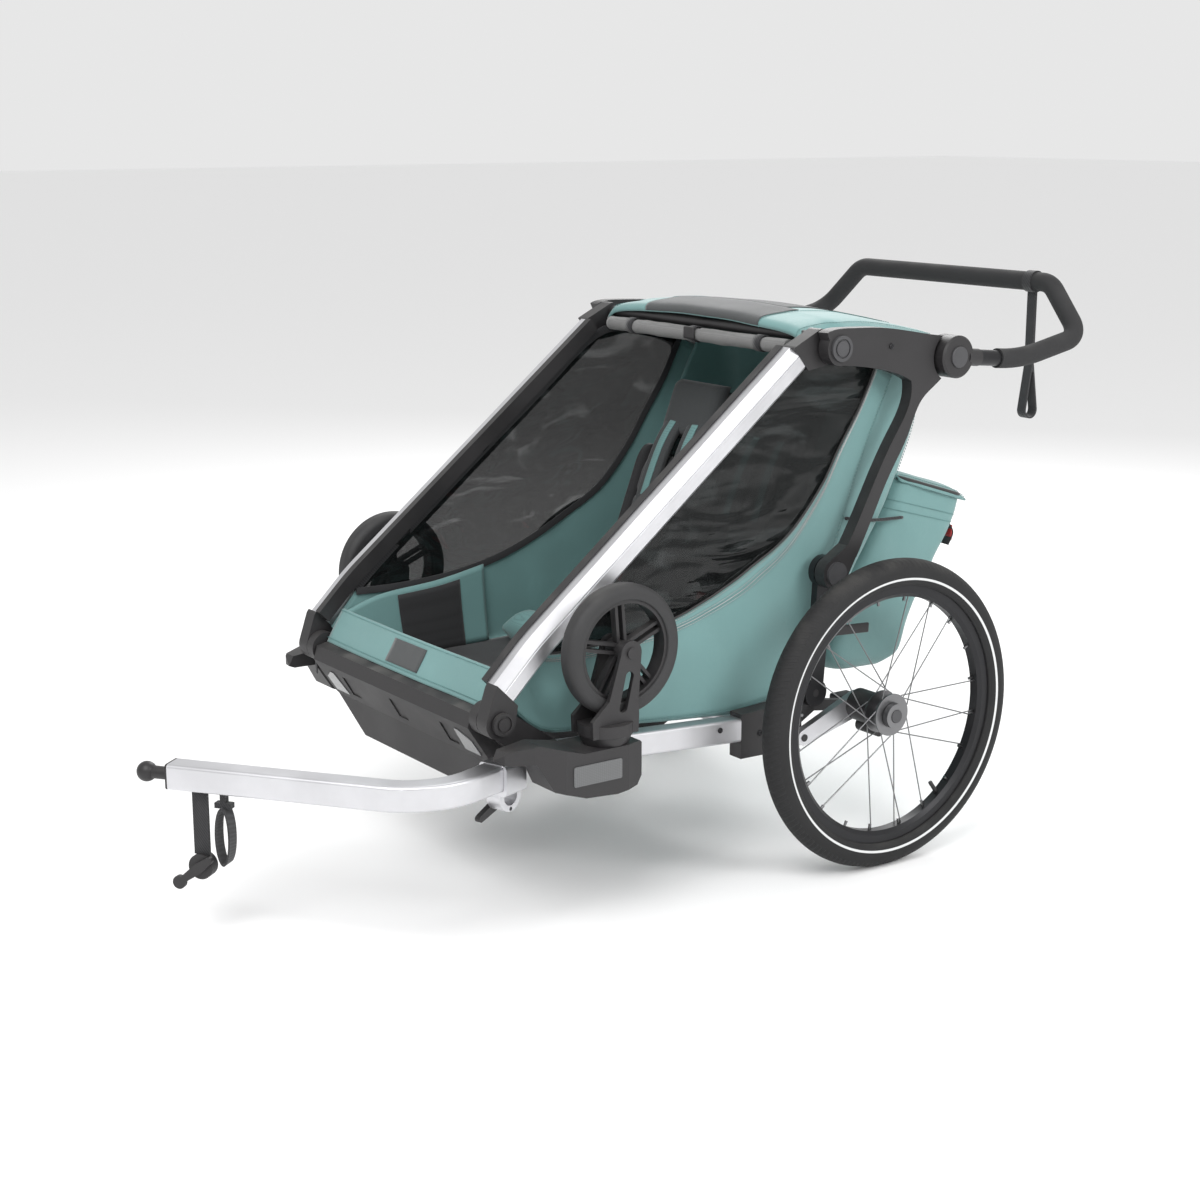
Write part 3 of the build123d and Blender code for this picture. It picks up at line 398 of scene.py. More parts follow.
def pad_mesh(
    name: str, base: Callable[[float, float], Vector], depth: Callable[[float, float], float], out: Vector,
    wide: int = 34, long: int = 34, back: float = 0.3,
) -> bpy.types.Object:
    """A crowned closed pad over a base surface: deep in the middle, drawn in at its rim.

    Args:
        name: the piece's name.
        base: the point of the base surface at (0 to 1, 0 to 1).
        depth: the pad's depth there, before the rim draws it in.
        out: the way the pad swells.
        wide: divisions across.
        long: divisions along.
        back: the back's share of the swelling.

    Returns:
        The new object.
    """
    verts, faces = [], []
    for layer in (1.0, -back):
        for j in range(long + 1):
            for i in range(wide + 1):
                u, v = i / wide, j / long
                edge = min(1.0, 7 * min(u, 1 - u)) * min(1.0, 7 * min(v, 1 - v))
                rise = math.sqrt(max(0.0, 1 - (1 - edge) ** 2))
                verts.append(base(u, v) + out * depth(u, v) * rise * layer)
    step = wide + 1
    half = step * (long + 1)
    for j in range(long):
        for i in range(wide):
            a = j * step + i
            faces.append((a, a + 1, a + 1 + step, a + step))
            faces.append((half + a + step, half + a + 1 + step, half + a + 1, half + a))
    return face_outward(piece(name, verts, faces))


def swell(obj: bpy.types.Object, cap: float, voxel: float = 0.006, pressure: float = 4.0) -> bpy.types.Object:
    """Fill a closed pad with pressure, as stuffing does, and keep the result.

    Args:
        obj: the closed pad, a little smaller than it should be.
        cap: the furthest that a point may move, in metres.
        voxel: the size of its even mesh.
        pressure: how hard it is stuffed.

    Returns:
        The same object, with the swollen mesh.
    """
    even = obj.modifiers.new("even", "REMESH")
    even.mode = "VOXEL"
    even.voxel_size = voxel
    keep_result(obj)
    before = [v.co.copy() for v in obj.data.vertices]
    cloth = obj.modifiers.new("filling", "CLOTH")
    cloth.settings.use_pressure = True
    cloth.settings.uniform_pressure_force = pressure
    cloth.settings.effector_weights.gravity = 0
    cloth.point_cache.frame_start = 1
    cloth.point_cache.frame_end = 16
    scene = bpy.context.scene
    for step in range(1, 17):
        scene.frame_set(step)
    keep_result(obj)
    scene.frame_set(1)
    for vertex, start in zip(obj.data.vertices, before):
        move = vertex.co - start
        if move.length > cap:
            vertex.co = start + move.normalized() * cap
    obj.data.polygons.foreach_set("use_smooth", [True] * len(obj.data.polygons))
    return obj


def keep_result(obj: bpy.types.Object) -> None:
    """Make what a piece's modifiers give its own mesh, and remove them.

    Args:
        obj: the piece.
    """
    depsgraph = bpy.context.evaluated_depsgraph_get()
    depsgraph.update()
    made = bpy.data.meshes.new_from_object(obj.evaluated_get(depsgraph), depsgraph=depsgraph)
    old = obj.data
    obj.modifiers.clear()
    obj.data = made
    bpy.data.meshes.remove(old)


# ---------------------------------------------------------------- node trees


class Tree:
    """A node tree with short ways to add nodes and join them."""

    def __init__(self, tree: bpy.types.NodeTree) -> None:
        """Keep the tree that is worked on."""
        self.tree = tree

    def add(self, kind: str, inputs: dict | None = None, **settings: object) -> bpy.types.Node:
        """A new node.

        Args:
            kind: its Blender type.
            inputs: a value or an output for each named or numbered input.
            settings: its own properties.

        Returns:
            The node.
        """
        node = self.tree.nodes.new(kind)
        for key, value in settings.items():
            setattr(node, key, value)
        for key, value in (inputs or {}).items():
            self.put(node.inputs[key], value)
        return node

    def put(self, socket: bpy.types.NodeSocket, value: object) -> None:
        """Join an output to a socket, or set the socket's own value.

        Args:
            socket: the input.
            value: an output, or a plain value.
        """
        if isinstance(value, bpy.types.NodeSocket):
            self.tree.links.new(value, socket)
        else:
            socket.default_value = value

    def sum(
        self, kind: str, a: object, b: object = 0.0, c: object = 0.0, clamp: bool = False,
    ) -> bpy.types.NodeSocket:
        """The output of one arithmetic node."""
        node = self.add("ShaderNodeMath", {0: a, 1: b, 2: c}, operation=kind, use_clamp=clamp)
        return node.outputs[0]

    def band(self, value: object, low: float, high: float) -> bpy.types.NodeSocket:
        """0 below low, 1 above high, and smooth between."""
        inputs = {"Value": value, "From Min": low, "From Max": high}
        return self.add("ShaderNodeMapRange", inputs, interpolation_type="SMOOTHSTEP").outputs[0]

    def blend(self, share: object, a: object, b: object) -> bpy.types.NodeSocket:
        """Colour a turning into colour b.

        Args:
            share: how far it has turned, 0 to 1.
            a: the first colour.
            b: the second colour.

        Returns:
            The mixed colour's output.
        """
        node = self.add("ShaderNodeMix", data_type="RGBA")
        for index, value in ((0, share), (6, a), (7, b)):
            self.put(node.inputs[index], value)
        return node.outputs[2]

    def noise(
        self, vector: object, scale: float, detail: float = 2.0, twist: float = 0.0,
    ) -> bpy.types.NodeSocket:
        """A noise texture's value."""
        inputs = {"Vector": vector, "Scale": scale, "Detail": detail, "Distortion": twist}
        return self.add("ShaderNodeTexNoise", inputs).outputs[0]


def new_group(
    name: str, kind: str, inputs: Sequence[tuple[str, str, object]], outputs: Sequence[tuple[str, str]],
) -> tuple[Tree, bpy.types.Node, bpy.types.Node]:
    """A node group with its sockets.

    Args:
        name: the group's name.
        kind: the tree's Blender type.
        inputs: each input's name, socket type and first value.
        outputs: each output's name and socket type.

    Returns:
        The tree, its input node and its output node.
    """
    group = bpy.data.node_groups.new(name, kind)
    for label, socket, value in inputs:
        made = group.interface.new_socket(label, in_out="INPUT", socket_type=socket)
        if value is not None:
            made.default_value = value
    for label, socket in outputs:
        group.interface.new_socket(label, in_out="OUTPUT", socket_type=socket)
    tree = Tree(group)
    return tree, tree.add("NodeGroupInput"), tree.add("NodeGroupOutput")


FLOAT = "NodeSocketFloat"
VECTOR = "NodeSocketVector"


def weave_group() -> bpy.types.NodeTree:
    """Plain weave: threads over and under each other, as a height and a painted shade that darkens the low
    gaps between threads.

    Returns:
        The node group.
    """
    tree, given, out = new_group(
        "plain_weave", "ShaderNodeTree", [("Vector", VECTOR, None), ("Threads", FLOAT, 900.0)],
        [("Height", FLOAT), ("Shade", FLOAT)],
    )
    scaled = tree.add("ShaderNodeVectorMath", {0: given.outputs[0]}, operation="SCALE")
    tree.put(scaled.inputs["Scale"], given.outputs[1])
    parts = tree.add("ShaderNodeSeparateXYZ", {0: scaled.outputs[0]})
    warp = tree.sum("ABSOLUTE", tree.sum("SINE", tree.sum("MULTIPLY", parts.outputs[0], math.pi)))
    weft = tree.sum("ABSOLUTE", tree.sum("SINE", tree.sum("MULTIPLY", parts.outputs[1], math.pi)))
    cells = tree.sum("ADD", tree.sum("FLOOR", parts.outputs[0]), tree.sum("FLOOR", parts.outputs[1]))
    over = tree.sum("PINGPONG", cells, 1.0)
    height = tree.add("ShaderNodeMix", {0: over, 2: warp, 3: weft}, data_type="FLOAT").outputs[0]
    tree.put(out.inputs[0], height)
    # Shade is painted shade: 0 in the low gaps between threads, 1 on the threads' crowns.
    tree.put(out.inputs[1], tree.band(height, 0.0, 0.8))
    return tree.tree


def grain_group() -> bpy.types.NodeTree:
    """Fine moulded grain with broad uneven patches, as a height and a mottle.

    Returns:
        The node group.
    """
    tree, given, out = new_group(
        "fine_grain", "ShaderNodeTree", [("Vector", VECTOR, None), ("Scale", FLOAT, 800.0)],
        [("Height", FLOAT), ("Mottle", FLOAT)],
    )
    tree.put(out.inputs[0], tree.noise(given.outputs[0], given.outputs[1], 3.0))
    tree.put(out.inputs[1], tree.band(tree.noise(given.outputs[0], 9.0, 5.0), 0.3, 0.7))
    return tree.tree


def dust_group() -> bpy.types.NodeTree:
    """A thin film of dust that lies on what faces up.

    Returns:
        The node group.
    """
    tree, given, out = new_group(
        "settled_dust", "ShaderNodeTree", [
            ("Vector", VECTOR, None), ("Amount", FLOAT, 0.2),
        ], [("Mask", FLOAT)]
    )
    normal = tree.add("ShaderNodeNewGeometry").outputs["Normal"]
    up = tree.band(tree.add("ShaderNodeSeparateXYZ", {0: normal}).outputs[2], 0.2, 1.0)
    patches = tree.band(tree.noise(given.outputs[0], 22.0, 6.0), 0.35, 0.75)
    tree.put(out.inputs[0], tree.sum("MULTIPLY", tree.sum("MULTIPLY", up, patches), given.outputs[1]))
    return tree.tree


GROUPS = {"weave": weave_group(), "grain": grain_group(), "dust": dust_group()}
Colour = tuple[float, float, float]


def shade(colour: Colour, share: float) -> tuple[float, float, float, float]:
    """A colour made lighter or darker, with full cover."""
    return (min(1.0, colour[0] * share), min(1.0, colour[1] * share), min(1.0, colour[2] * share), 1.0)


@dataclass(frozen=True)
class Finish:
    """What every finish has: its name, the record's slot it belongs to, and its colour."""

    name: str
    slot: str
    colour: Colour
    roughness: float = 0.5

    def start(self) -> tuple[Tree, bpy.types.Node, bpy.types.NodeSocket, bpy.types.Material]:
        """A new material, ready for its pattern.

        Returns:
            Its tree, its shader, the coordinates its pattern follows, and the material.
        """
        material = bpy.data.materials.new(self.name)
        material.use_nodes = True
        tree = Tree(material.node_tree)
        shader = material.node_tree.nodes["Principled BSDF"]
        shader.inputs["Roughness"].default_value = self.roughness
        place = tree.add("ShaderNodeTexCoord").outputs["Object"]
        material.diffuse_color = shade(self.colour, 1.0)
        return tree, shader, place, material

    def group(self, tree: Tree, kind: str, **inputs: object) -> bpy.types.Node:
        """One of the shared groups, placed in this material with its own values."""
        return tree.add("ShaderNodeGroup", inputs, node_tree=GROUPS[kind])


@dataclass(frozen=True)
class Moulded(Finish):
    """Moulded plastic, foam or rubber: fine grain, broad mottle and a little dust on top."""

    grain: float = 900.0
    bump: float = 0.12
    dust: float = 0.10

    def build(self) -> bpy.types.Material:
        """Make the material.

        Returns:
            The new material.
        """
        tree, shader, place, material = self.start()
        grain = self.group(tree, "grain", Vector=place, Scale=self.grain)
        dust = self.group(tree, "dust", Vector=place, Amount=self.dust)
        base = tree.blend(grain.outputs[1], shade(self.colour, 0.85), shade(self.colour, 1.2))
        tree.put(shader.inputs["Base Color"], tree.blend(dust.outputs[0], base, (0.30, 0.29, 0.27, 1)))
        rough = tree.sum("MULTIPLY_ADD", grain.outputs[1], 0.12, self.roughness - 0.06)
        tree.put(
            shader.inputs["Roughness"], tree.sum("ADD", rough, tree.sum("MULTIPLY", dust.outputs[0], 0.4)),
        )
        bump = tree.add(
            "ShaderNodeBump", {"Height": grain.outputs[0], "Strength": self.bump, "Distance": 0.0004},
        )
        tree.put(shader.inputs["Normal"], bump.outputs[0])
        return material


@dataclass(frozen=True)
class Alloy(Finish):
    """Anodised or bare metal, brushed along its length."""

    lean: float = 0.0
    turn: float = 0.0
    metallic: float = 1.0
    brushing: float = 0.05

    def build(self) -> bpy.types.Material:
        """Make the material.

        Returns:
            The new material.
        """
        tree, shader, place, material = self.start()
        shader.inputs["Metallic"].default_value = self.metallic
        turned = tree.add("ShaderNodeMapping", {"Vector": place, "Rotation": (self.lean, 0.0, self.turn)})
        drawn = tree.add("ShaderNodeMapping", {"Vector": turned.outputs[0], "Scale": (1400.0, 18.0, 1400.0)})
        lines = tree.noise(drawn.outputs[0], 1.0, 3.0)
        patches = tree.band(tree.noise(place, 14.0, 5.0), 0.3, 0.75)
        base = tree.blend(patches, shade(self.colour, 0.93), shade(self.colour, 1.04))
        tree.put(shader.inputs["Base Color"], base)
        rough = tree.sum("MULTIPLY_ADD", lines, 0.16, self.roughness - 0.08)
        tree.put(shader.inputs["Roughness"], tree.sum("MULTIPLY_ADD", patches, 0.06, rough))
        bump = tree.add("ShaderNodeBump", {"Height": lines, "Strength": self.brushing, "Distance": 0.0003})
        tree.put(shader.inputs["Normal"], bump.outputs[0])
        return material


@dataclass(frozen=True)
class Cloth(Finish):
    """Woven cloth: threads with painted shade in the gaps between them, soft sheen, faint fading and creases.
    """

    threads: float = 700.0
    follows: Weave = Weave.SHEET
    bump: float = 0.35
    crease: float = 0.25
    sheen: float = 0.25
    # under: the colour of the painted shade in the gaps between threads; without it, the cloth's own colour
    # at 0.62.
    under: Colour | None = None

    def build(self) -> bpy.types.Material:
        """Make the material.

        Returns:
            The new material.
        """
        tree, shader, place, material = self.start()
        if self.follows is Weave.SHEET:
            threads = tree.add("ShaderNodeUVMap", uv_map="cloth").outputs[0]
        else:
            threads = tree.add("ShaderNodeMapping", {"Vector": place, "Rotation": (0.9, 0.0, 0.0)}).outputs[0]
        weave = self.group(tree, "weave", Vector=threads, Threads=self.threads)
        fade = tree.band(tree.noise(place, 5.0, 4.0), 0.3, 0.75)
        # Painted shade: low is the darker colour drawn in the gaps between threads.
        low = shade(self.under or self.colour, 0.62 if self.under is None else 1.0)
        base = tree.blend(fade, shade(self.colour, 0.92), shade(self.colour, 1.08))
        tree.put(shader.inputs["Base Color"], tree.blend(weave.outputs[1], low, base))
        shader.inputs["Sheen Weight"].default_value = self.sheen
        shader.inputs["Sheen Roughness"].default_value = 0.45
        creases = tree.noise(place, 16.0, 4.0, 0.6)
        fine = tree.add(
            "ShaderNodeBump", {"Height": weave.outputs[0], "Strength": self.bump, "Distance": 0.0003},
        )
        inputs = {"Height": creases, "Strength": self.crease, "Distance": 0.006, "Normal": fine.outputs[0]}
        tree.put(shader.inputs["Normal"], tree.add("ShaderNodeBump", inputs).outputs[0])
        tree.put(shader.inputs["Roughness"], tree.sum("MULTIPLY_ADD", fade, 0.1, self.roughness - 0.05))
        return material


@dataclass(frozen=True)
class Mesh(Finish):
    """Open mesh cloth: round holes between knitted threads, darkened with painted shade."""

    pitch: float = 0.0042

    def build(self) -> bpy.types.Material:
        """Make the material.

        Returns:
            The new material.
        """
        tree, shader, place, material = self.start()
        turned = tree.add("ShaderNodeMapping", {"Vector": place, "Rotation": (-1.19, 0.0, 0.0)})
        flat = tree.add("ShaderNodeMapping", {"Vector": turned.outputs[0], "Scale": (1.0, 1.0, 0.0)})
        cells = tree.add(
            "ShaderNodeTexVoronoi", {"Vector": flat.outputs[0], "Scale": 1 / self.pitch, "Randomness": 0.0},
        )
        holes = tree.band(cells.outputs["Distance"], 0.28, 0.42)
        # Painted shade in the holes: they are drawn at 0.3 of the colour; their quarter cover leaves them
        # mostly open, as they really are.
        tree.put(
            shader.inputs["Base Color"], tree.blend(holes, shade(self.colour, 0.3), shade(self.colour, 1.0)),
        )
        tree.put(shader.inputs["Alpha"], tree.sum("MULTIPLY_ADD", holes, 0.75, 0.25))
        bump = tree.add("ShaderNodeBump", {"Height": holes, "Strength": 0.5, "Distance": 0.0006})
        tree.put(shader.inputs["Normal"], bump.outputs[0])
        return material


@dataclass(frozen=True)
class Film(Finish):
    """Tinted clear window film, slightly wavy, with painted reflection streaks."""

    cover: float = 0.78
    wave: float = 0.6

    def build(self) -> bpy.types.Material:
        """Make the material.

        Returns:
            The new material.
        """
        tree, shader, place, material = self.start()
        shader.inputs["IOR"].default_value = 1.38
        swirl = tree.add(
            "ShaderNodeMapping", {"Vector": place, "Rotation": (0.7, 0, 0), "Scale": (1.0, 3.0, 9.0)},
        )
        # Painted reflections: the glints are noise streaks drawn 3.6 times brighter and a little more
        # see-through.
        glints = tree.band(tree.noise(swirl.outputs[0], 1.6, 2.5, 2.2), 0.55, 0.68)
        tree.put(
            shader.inputs["Base Color"], tree.blend(glints, shade(self.colour, 1.0), shade(self.colour, 3.6)),
        )
        tree.put(shader.inputs["Alpha"], tree.sum("MULTIPLY_ADD", glints, -0.07, self.cover))
        stretched = tree.add(
            "ShaderNodeMapping", {"Vector": place, "Rotation": (0.6, 0, 0), "Scale": (5.0, 4.0, 13.0)},
        )
        waves = tree.noise(stretched.outputs[0], 1.0, 1.5, 1.4)
        bump = tree.add("ShaderNodeBump", {"Height": waves, "Strength": self.wave, "Distance": 0.02})
        tree.put(shader.inputs["Normal"], bump.outputs[0])
        rough = tree.band(tree.noise(place, 30.0, 4.0), 0.4, 0.9)
        tree.put(shader.inputs["Roughness"], tree.sum("MULTIPLY_ADD", rough, 0.08, self.roughness))
        return material


@dataclass(frozen=True)
class Webbing(Finish):
    """Ribbed flat strap, with painted shade in the grooves and painted highlight on the ribs."""

    ribs: float = 700.0

    def build(self) -> bpy.types.Material:
        """Make the material.

        Returns:
            The new material.
        """
        tree, shader, place, material = self.start()
        wave = tree.add(
            "ShaderNodeTexWave", {"Vector": place, "Scale": self.ribs / 6.3}, bands_direction="DIAGONAL",
        )
        # Painted shade and highlight: the colour follows the ribs' height, from half the colour in the
        # grooves to 1.5 times on the ribs.
        base = tree.blend(wave.outputs["Fac"], shade(self.colour, 0.5), shade(self.colour, 1.5))
        tree.put(shader.inputs["Base Color"], base)
        shader.inputs["Sheen Weight"].default_value = 0.2
        bump = tree.add(
            "ShaderNodeBump", {"Height": wave.outputs["Fac"], "Strength": 0.5, "Distance": 0.0005},
        )
        tree.put(shader.inputs["Normal"], bump.outputs[0])
        tree.put(
            shader.inputs["Roughness"],
            tree.sum("MULTIPLY_ADD", tree.noise(place, 60.0), 0.2, self.roughness),
        )
        return material


@dataclass(frozen=True)
class Tread(Finish):
    """Tyre rubber with a shallow tread, moulded side and a pale reflective stripe."""

    middle: Point = (0.0, 0.0)
    stripe: float = 0.2205
    rim: float = 0.238

    def build(self) -> bpy.types.Material:
        """Make the material.

        Returns:
            The new material.
        """
        tree, shader, place, material = self.start()
        centre = (0.0, -self.middle[0], -self.middle[1])
        moved = tree.add("ShaderNodeMapping", {"Vector": place, "Location": centre})
        parts = tree.add("ShaderNodeSeparateXYZ", {0: moved.outputs[0]})
        squares = [tree.sum("POWER", parts.outputs[k], 2.0) for k in (1, 2)]
        radius = tree.sum("SQRT", tree.sum("ADD", squares[0], squares[1]))
        angle = tree.sum("ARCTAN2", parts.outputs[2], parts.outputs[1])
        off = tree.sum("ABSOLUTE", tree.sum("SUBTRACT", radius, self.stripe))
        stripe = tree.sum("SUBTRACT", 1.0, tree.band(off, 0.0016, 0.0020))
        outer = tree.band(tree.sum("ABSOLUTE", parts.outputs[0]), TRACK_X - 0.001, TRACK_X + 0.001)
        stripe = tree.sum("MULTIPLY", stripe, outer)
        off_middle = tree.sum("SUBTRACT", tree.sum("ABSOLUTE", parts.outputs[0]), TRACK_X)
        across = tree.sum("MULTIPLY", tree.sum("ABSOLUTE", off_middle), 300.0)
        blocks = tree.sum("SINE", tree.sum("ADD", tree.sum("MULTIPLY", angle, 150.0), across))
        tread = tree.sum(
            "MULTIPLY", tree.band(blocks, -0.2, 0.3), tree.band(radius, self.rim, self.rim + 0.002),
        )
        lines = tree.band(tree.sum("SINE", tree.sum("MULTIPLY", radius, 2400.0)), 0.6, 0.9)
        sides = tree.sum("MULTIPLY", lines, tree.sum("SUBTRACT", 1.0, tree.band(radius, 0.212, 0.214)))
        grain = self.group(tree, "grain", Vector=place, Scale=700.0)
        dust = self.group(tree, "dust", Vector=place, Amount=0.12)
        base = tree.blend(grain.outputs[1], shade(self.colour, 0.8), shade(self.colour, 1.3))
        base = tree.blend(tree.sum("MULTIPLY", tread, 0.5), base, shade(self.colour, 1.5))
        base = tree.blend(dust.outputs[0], base, (0.25, 0.24, 0.22, 1))
        tree.put(shader.inputs["Base Color"], tree.blend(stripe, base, (0.62, 0.63, 0.63, 1)))
        relief = tree.sum("ADD", tread, tree.sum("MULTIPLY", sides, 0.25))
        height = tree.sum("ADD", relief, tree.sum("MULTIPLY", grain.outputs[0], 0.1))
        bump = tree.add("ShaderNodeBump", {"Height": height, "Strength": 0.7, "Distance": 0.0011})
        tree.put(shader.inputs["Normal"], bump.outputs[0])
        tree.put(shader.inputs["Roughness"], tree.sum("MULTIPLY_ADD", stripe, -0.25, self.roughness))
        return material


@dataclass(frozen=True)
class Prism(Finish):
    """Reflector plastic with a fine prismatic back."""

    def build(self) -> bpy.types.Material:
        """Make the material.

        Returns:
            The new material.
        """
        tree, shader, place, material = self.start()
        turned = tree.add("ShaderNodeMapping", {"Vector": place, "Rotation": (0.0, 0.0, 0.785)})
        cells = tree.add(
            "ShaderNodeTexVoronoi", {"Vector": turned.outputs[0], "Scale": 420.0, "Randomness": 0.0},
        )
        fleck = tree.band(cells.outputs["Distance"], 0.15, 0.6)
        tree.put(
            shader.inputs["Base Color"],
            tree.blend(fleck, shade(self.colour, 1.25), shade(self.colour, 0.75)),
        )
        shader.inputs["Coat Weight"].default_value = 0.6
        bump = tree.add("ShaderNodeBump", {"Height": fleck, "Strength": 0.25, "Distance": 0.0004})
        tree.put(shader.inputs["Normal"], bump.outputs[0])
        return material


TEAL = (0.155, 0.300, 0.295)
ARM_LEAN = math.radians(-38.8)

FINISHES: dict[str, Finish] = {
    "silver": Alloy("silver_arms", "silver_aluminium", (0.66, 0.66, 0.68), 0.40, lean=ARM_LEAN),
    "silver_level": Alloy("silver_rails", "silver_aluminium", (0.64, 0.64, 0.66), 0.40),
    "plastic": Moulded("black_mouldings", "black_plastic", (0.016, 0.015, 0.016), 0.50),
    "shell": Moulded(
        "bumper_shell", "black_plastic", (0.020, 0.019, 0.020), 0.60, grain=500.0, bump=0.3, dust=0.2,
    ),
    "grey_caps": Moulded("grey_caps", "grey_plastic", (0.045, 0.045, 0.048), 0.46),
    "foam": Moulded("grip_foam", "foam_grip", (0.020, 0.020, 0.021), 0.86, grain=1600.0, bump=0.4, dust=0.05),
    "black_alloy": Alloy("black_anodised", "black_alloy", (0.022, 0.022, 0.024), 0.38, metallic=0.6),
    "hub": Alloy("turned_hub", "brushed_hub", (0.20, 0.20, 0.205), 0.34),
    "wire": Alloy("spoke_wire", "spoke_steel", (0.22, 0.22, 0.225), 0.30),
    "tyre": Tread("road_tyre", "tyre_rubber", (0.008, 0.008, 0.0085), 0.8, middle=(AXLE_Y, AXLE_Z)),
    "caster_tyre": Moulded("caster_tyre", "tyre_rubber", (0.024, 0.024, 0.025), 0.68, grain=500.0, bump=0.3),
    # The under colours below are painted shade for the gaps between threads.
    "teal": Cloth("teal_cloth", "teal_fabric", TEAL, 0.62, under=(0.13, 0.25, 0.245)),
    "teal_pad": Cloth("teal_padding", "teal_fabric", TEAL, 0.75, follows=Weave.BODY, crease=0.15),
    "grey": Cloth("grey_cloth", "grey_fabric", (0.065, 0.07, 0.072), 0.8, under=(0.03, 0.03, 0.03)),
    "grey_pad": Cloth("grey_padding", "grey_fabric", (0.050, 0.054, 0.056), 0.85, follows=Weave.BODY),
    "roll": Cloth("rolled_cover", "grey_fabric", (0.17, 0.17, 0.168), 0.7, follows=Weave.BODY, crease=0.5),
    "pale_pad": Cloth("pale_padding", "grey_fabric", (0.22, 0.23, 0.235), 0.85, follows=Weave.BODY),
    "black": Cloth(
        "black_cloth", "dark_fabric", (0.022, 0.022, 0.024), 0.8, threads=500.0, follows=Weave.BODY,
    ),
    "mesh": Mesh("mesh_back", "dark_fabric", (0.05, 0.052, 0.055), 0.8),
    "webbing": Webbing("webbing", "webbing", (0.016, 0.016, 0.018), 0.7),
    "reflector": Prism("reflector", "reflector", (0.10, 0.103, 0.106), 0.3),
    "red": Prism("red_reflector", "reflector", (0.42, 0.02, 0.02), 0.3),
    "film": Film("window_film", "", (0.007, 0.008, 0.008), 0.05),
    "seam": Moulded("seam_thread", "grey_fabric", (0.30, 0.32, 0.32), 0.6, dust=0.0),
    "teal_thread": Moulded("teal_thread", "teal_fabric", (0.12, 0.24, 0.235), 0.7, dust=0.0),
}
BUILT: dict[str, bpy.types.Material] = {}


def paint(obj: bpy.types.Object, *names: str) -> bpy.types.Object:
    """Give a piece its finishes.

    Args:
        obj: the piece.
        names: keys of FINISHES, one for each material slot.

    Returns:
        The same object.
    """
    obj.data.materials.clear()
    for name in names:
        if name not in BUILT:
            BUILT[name] = FINISHES[name].build()
        obj.data.materials.append(BUILT[name])
    return obj


def dress(finish: str, *nodes: str) -> None:
    """Give CAD nodes their finish.

    Args:
        finish: a key of FINISHES.
        nodes: the nodes' names.
    """
    for node in nodes:
        paint(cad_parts[node], finish)
        LOG.info("dressed %s in %s", node, finish)


# ---------------------------------------------------------------- geometry nodes: stitches


def stitch_tree() -> bpy.types.NodeTree:
    """Stitches set along every edge line of a piece, as small bars.

    Returns:
        The node group.
    """
    tree, given, out = new_group(
        "stitch_run", "GeometryNodeTree",
        [("Line", "NodeSocketGeometry", None), ("Spacing", FLOAT, 0.005), ("Stitch", FLOAT, 0.0034),
         ("Thread", FLOAT, 0.0009), ("Finish", "NodeSocketMaterial", None)],
        [("Stitches", "NodeSocketGeometry")],
    )
    curve = tree.add("GeometryNodeMeshToCurve", {0: given.outputs["Line"]})
    even = tree.add("GeometryNodeResampleCurve", {"Curve": curve.outputs[0]}, mode="LENGTH")
    tree.put(even.inputs["Length"], given.outputs["Spacing"])
    size = tree.add(
        "ShaderNodeCombineXYZ",
        {0: given.outputs["Stitch"], 1: given.outputs["Thread"], 2: given.outputs["Thread"]},
    )
    bar = tree.add("GeometryNodeMeshCube", {"Size": size.outputs[0]})
    tangent = tree.add("GeometryNodeInputTangent")
    turn = tree.add("FunctionNodeAlignRotationToVector", {"Vector": tangent.outputs[0]}, axis="X")
    inputs = {"Points": even.outputs[0], "Instance": bar.outputs[0], "Rotation": turn.outputs[0]}
    placed = tree.add("GeometryNodeInstanceOnPoints", inputs)
    real = tree.add("GeometryNodeRealizeInstances", {0: placed.outputs[0]})
    finish = tree.add(
        "GeometryNodeSetMaterial", {"Geometry": real.outputs[0], "Material": given.outputs["Finish"]},
    )
    tree.put(out.inputs[0], finish.outputs[0])
    return tree.tree


STITCHES = stitch_tree()


def stitches(
    name: str, lines: Sequence[Sequence[Vector]], finish: str, spacing: float = 0.005,
) -> bpy.types.Object:
    """Stitches along lines, as one plain mesh.

    Args:
        name: the piece's name.
        lines: the seams' lines.
        finish: a key of FINISHES.
        spacing: from one stitch to the next.

    Returns:
        The new object.
    """
    verts, edges = [], []
    for line in lines:
        start = len(verts)
        verts += [tuple(p) for p in line]
        edges += [(start + k, start + k + 1) for k in range(len(line) - 1)]
    mesh = bpy.data.meshes.new(name)
    mesh.from_pydata(verts, edges, [])
    obj = bpy.data.objects.new(name, mesh)
    bpy.context.scene.collection.objects.link(obj)
    paint(obj, finish)
    run = obj.modifiers.new("stitches", "NODES")
    run.node_group = STITCHES
    sockets = {item.name: item.identifier for item in STITCHES.interface.items_tree if item.in_out == "INPUT"}
    run[sockets["Spacing"]] = spacing
    run[sockets["Stitch"]] = spacing * 0.68
    run[sockets["Finish"]] = BUILT[finish]
    keep_result(obj)
    if not obj.data.materials:
        obj.data.materials.append(BUILT[finish])
    return obj


# ---------------------------------------------------------------- placing soft pieces


def hang_between(obj: bpy.types.Object) -> bpy.types.Object:
    """Bake a side panel's piece's placement into its mesh.

    Args:
        obj: the piece.

    Returns:
        The same object.
    """
    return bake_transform(obj)


def crumple(obj: bpy.types.Object) -> bpy.types.Object:
    """Tie a chassis piece to the chassis body and give it a mesh of its own.

    Args:
        obj: the piece.

    Returns:
        The same object.
    """
    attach(obj, "chassis")
    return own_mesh(obj)


# ---------------------------------------------------------------- side panels and windows


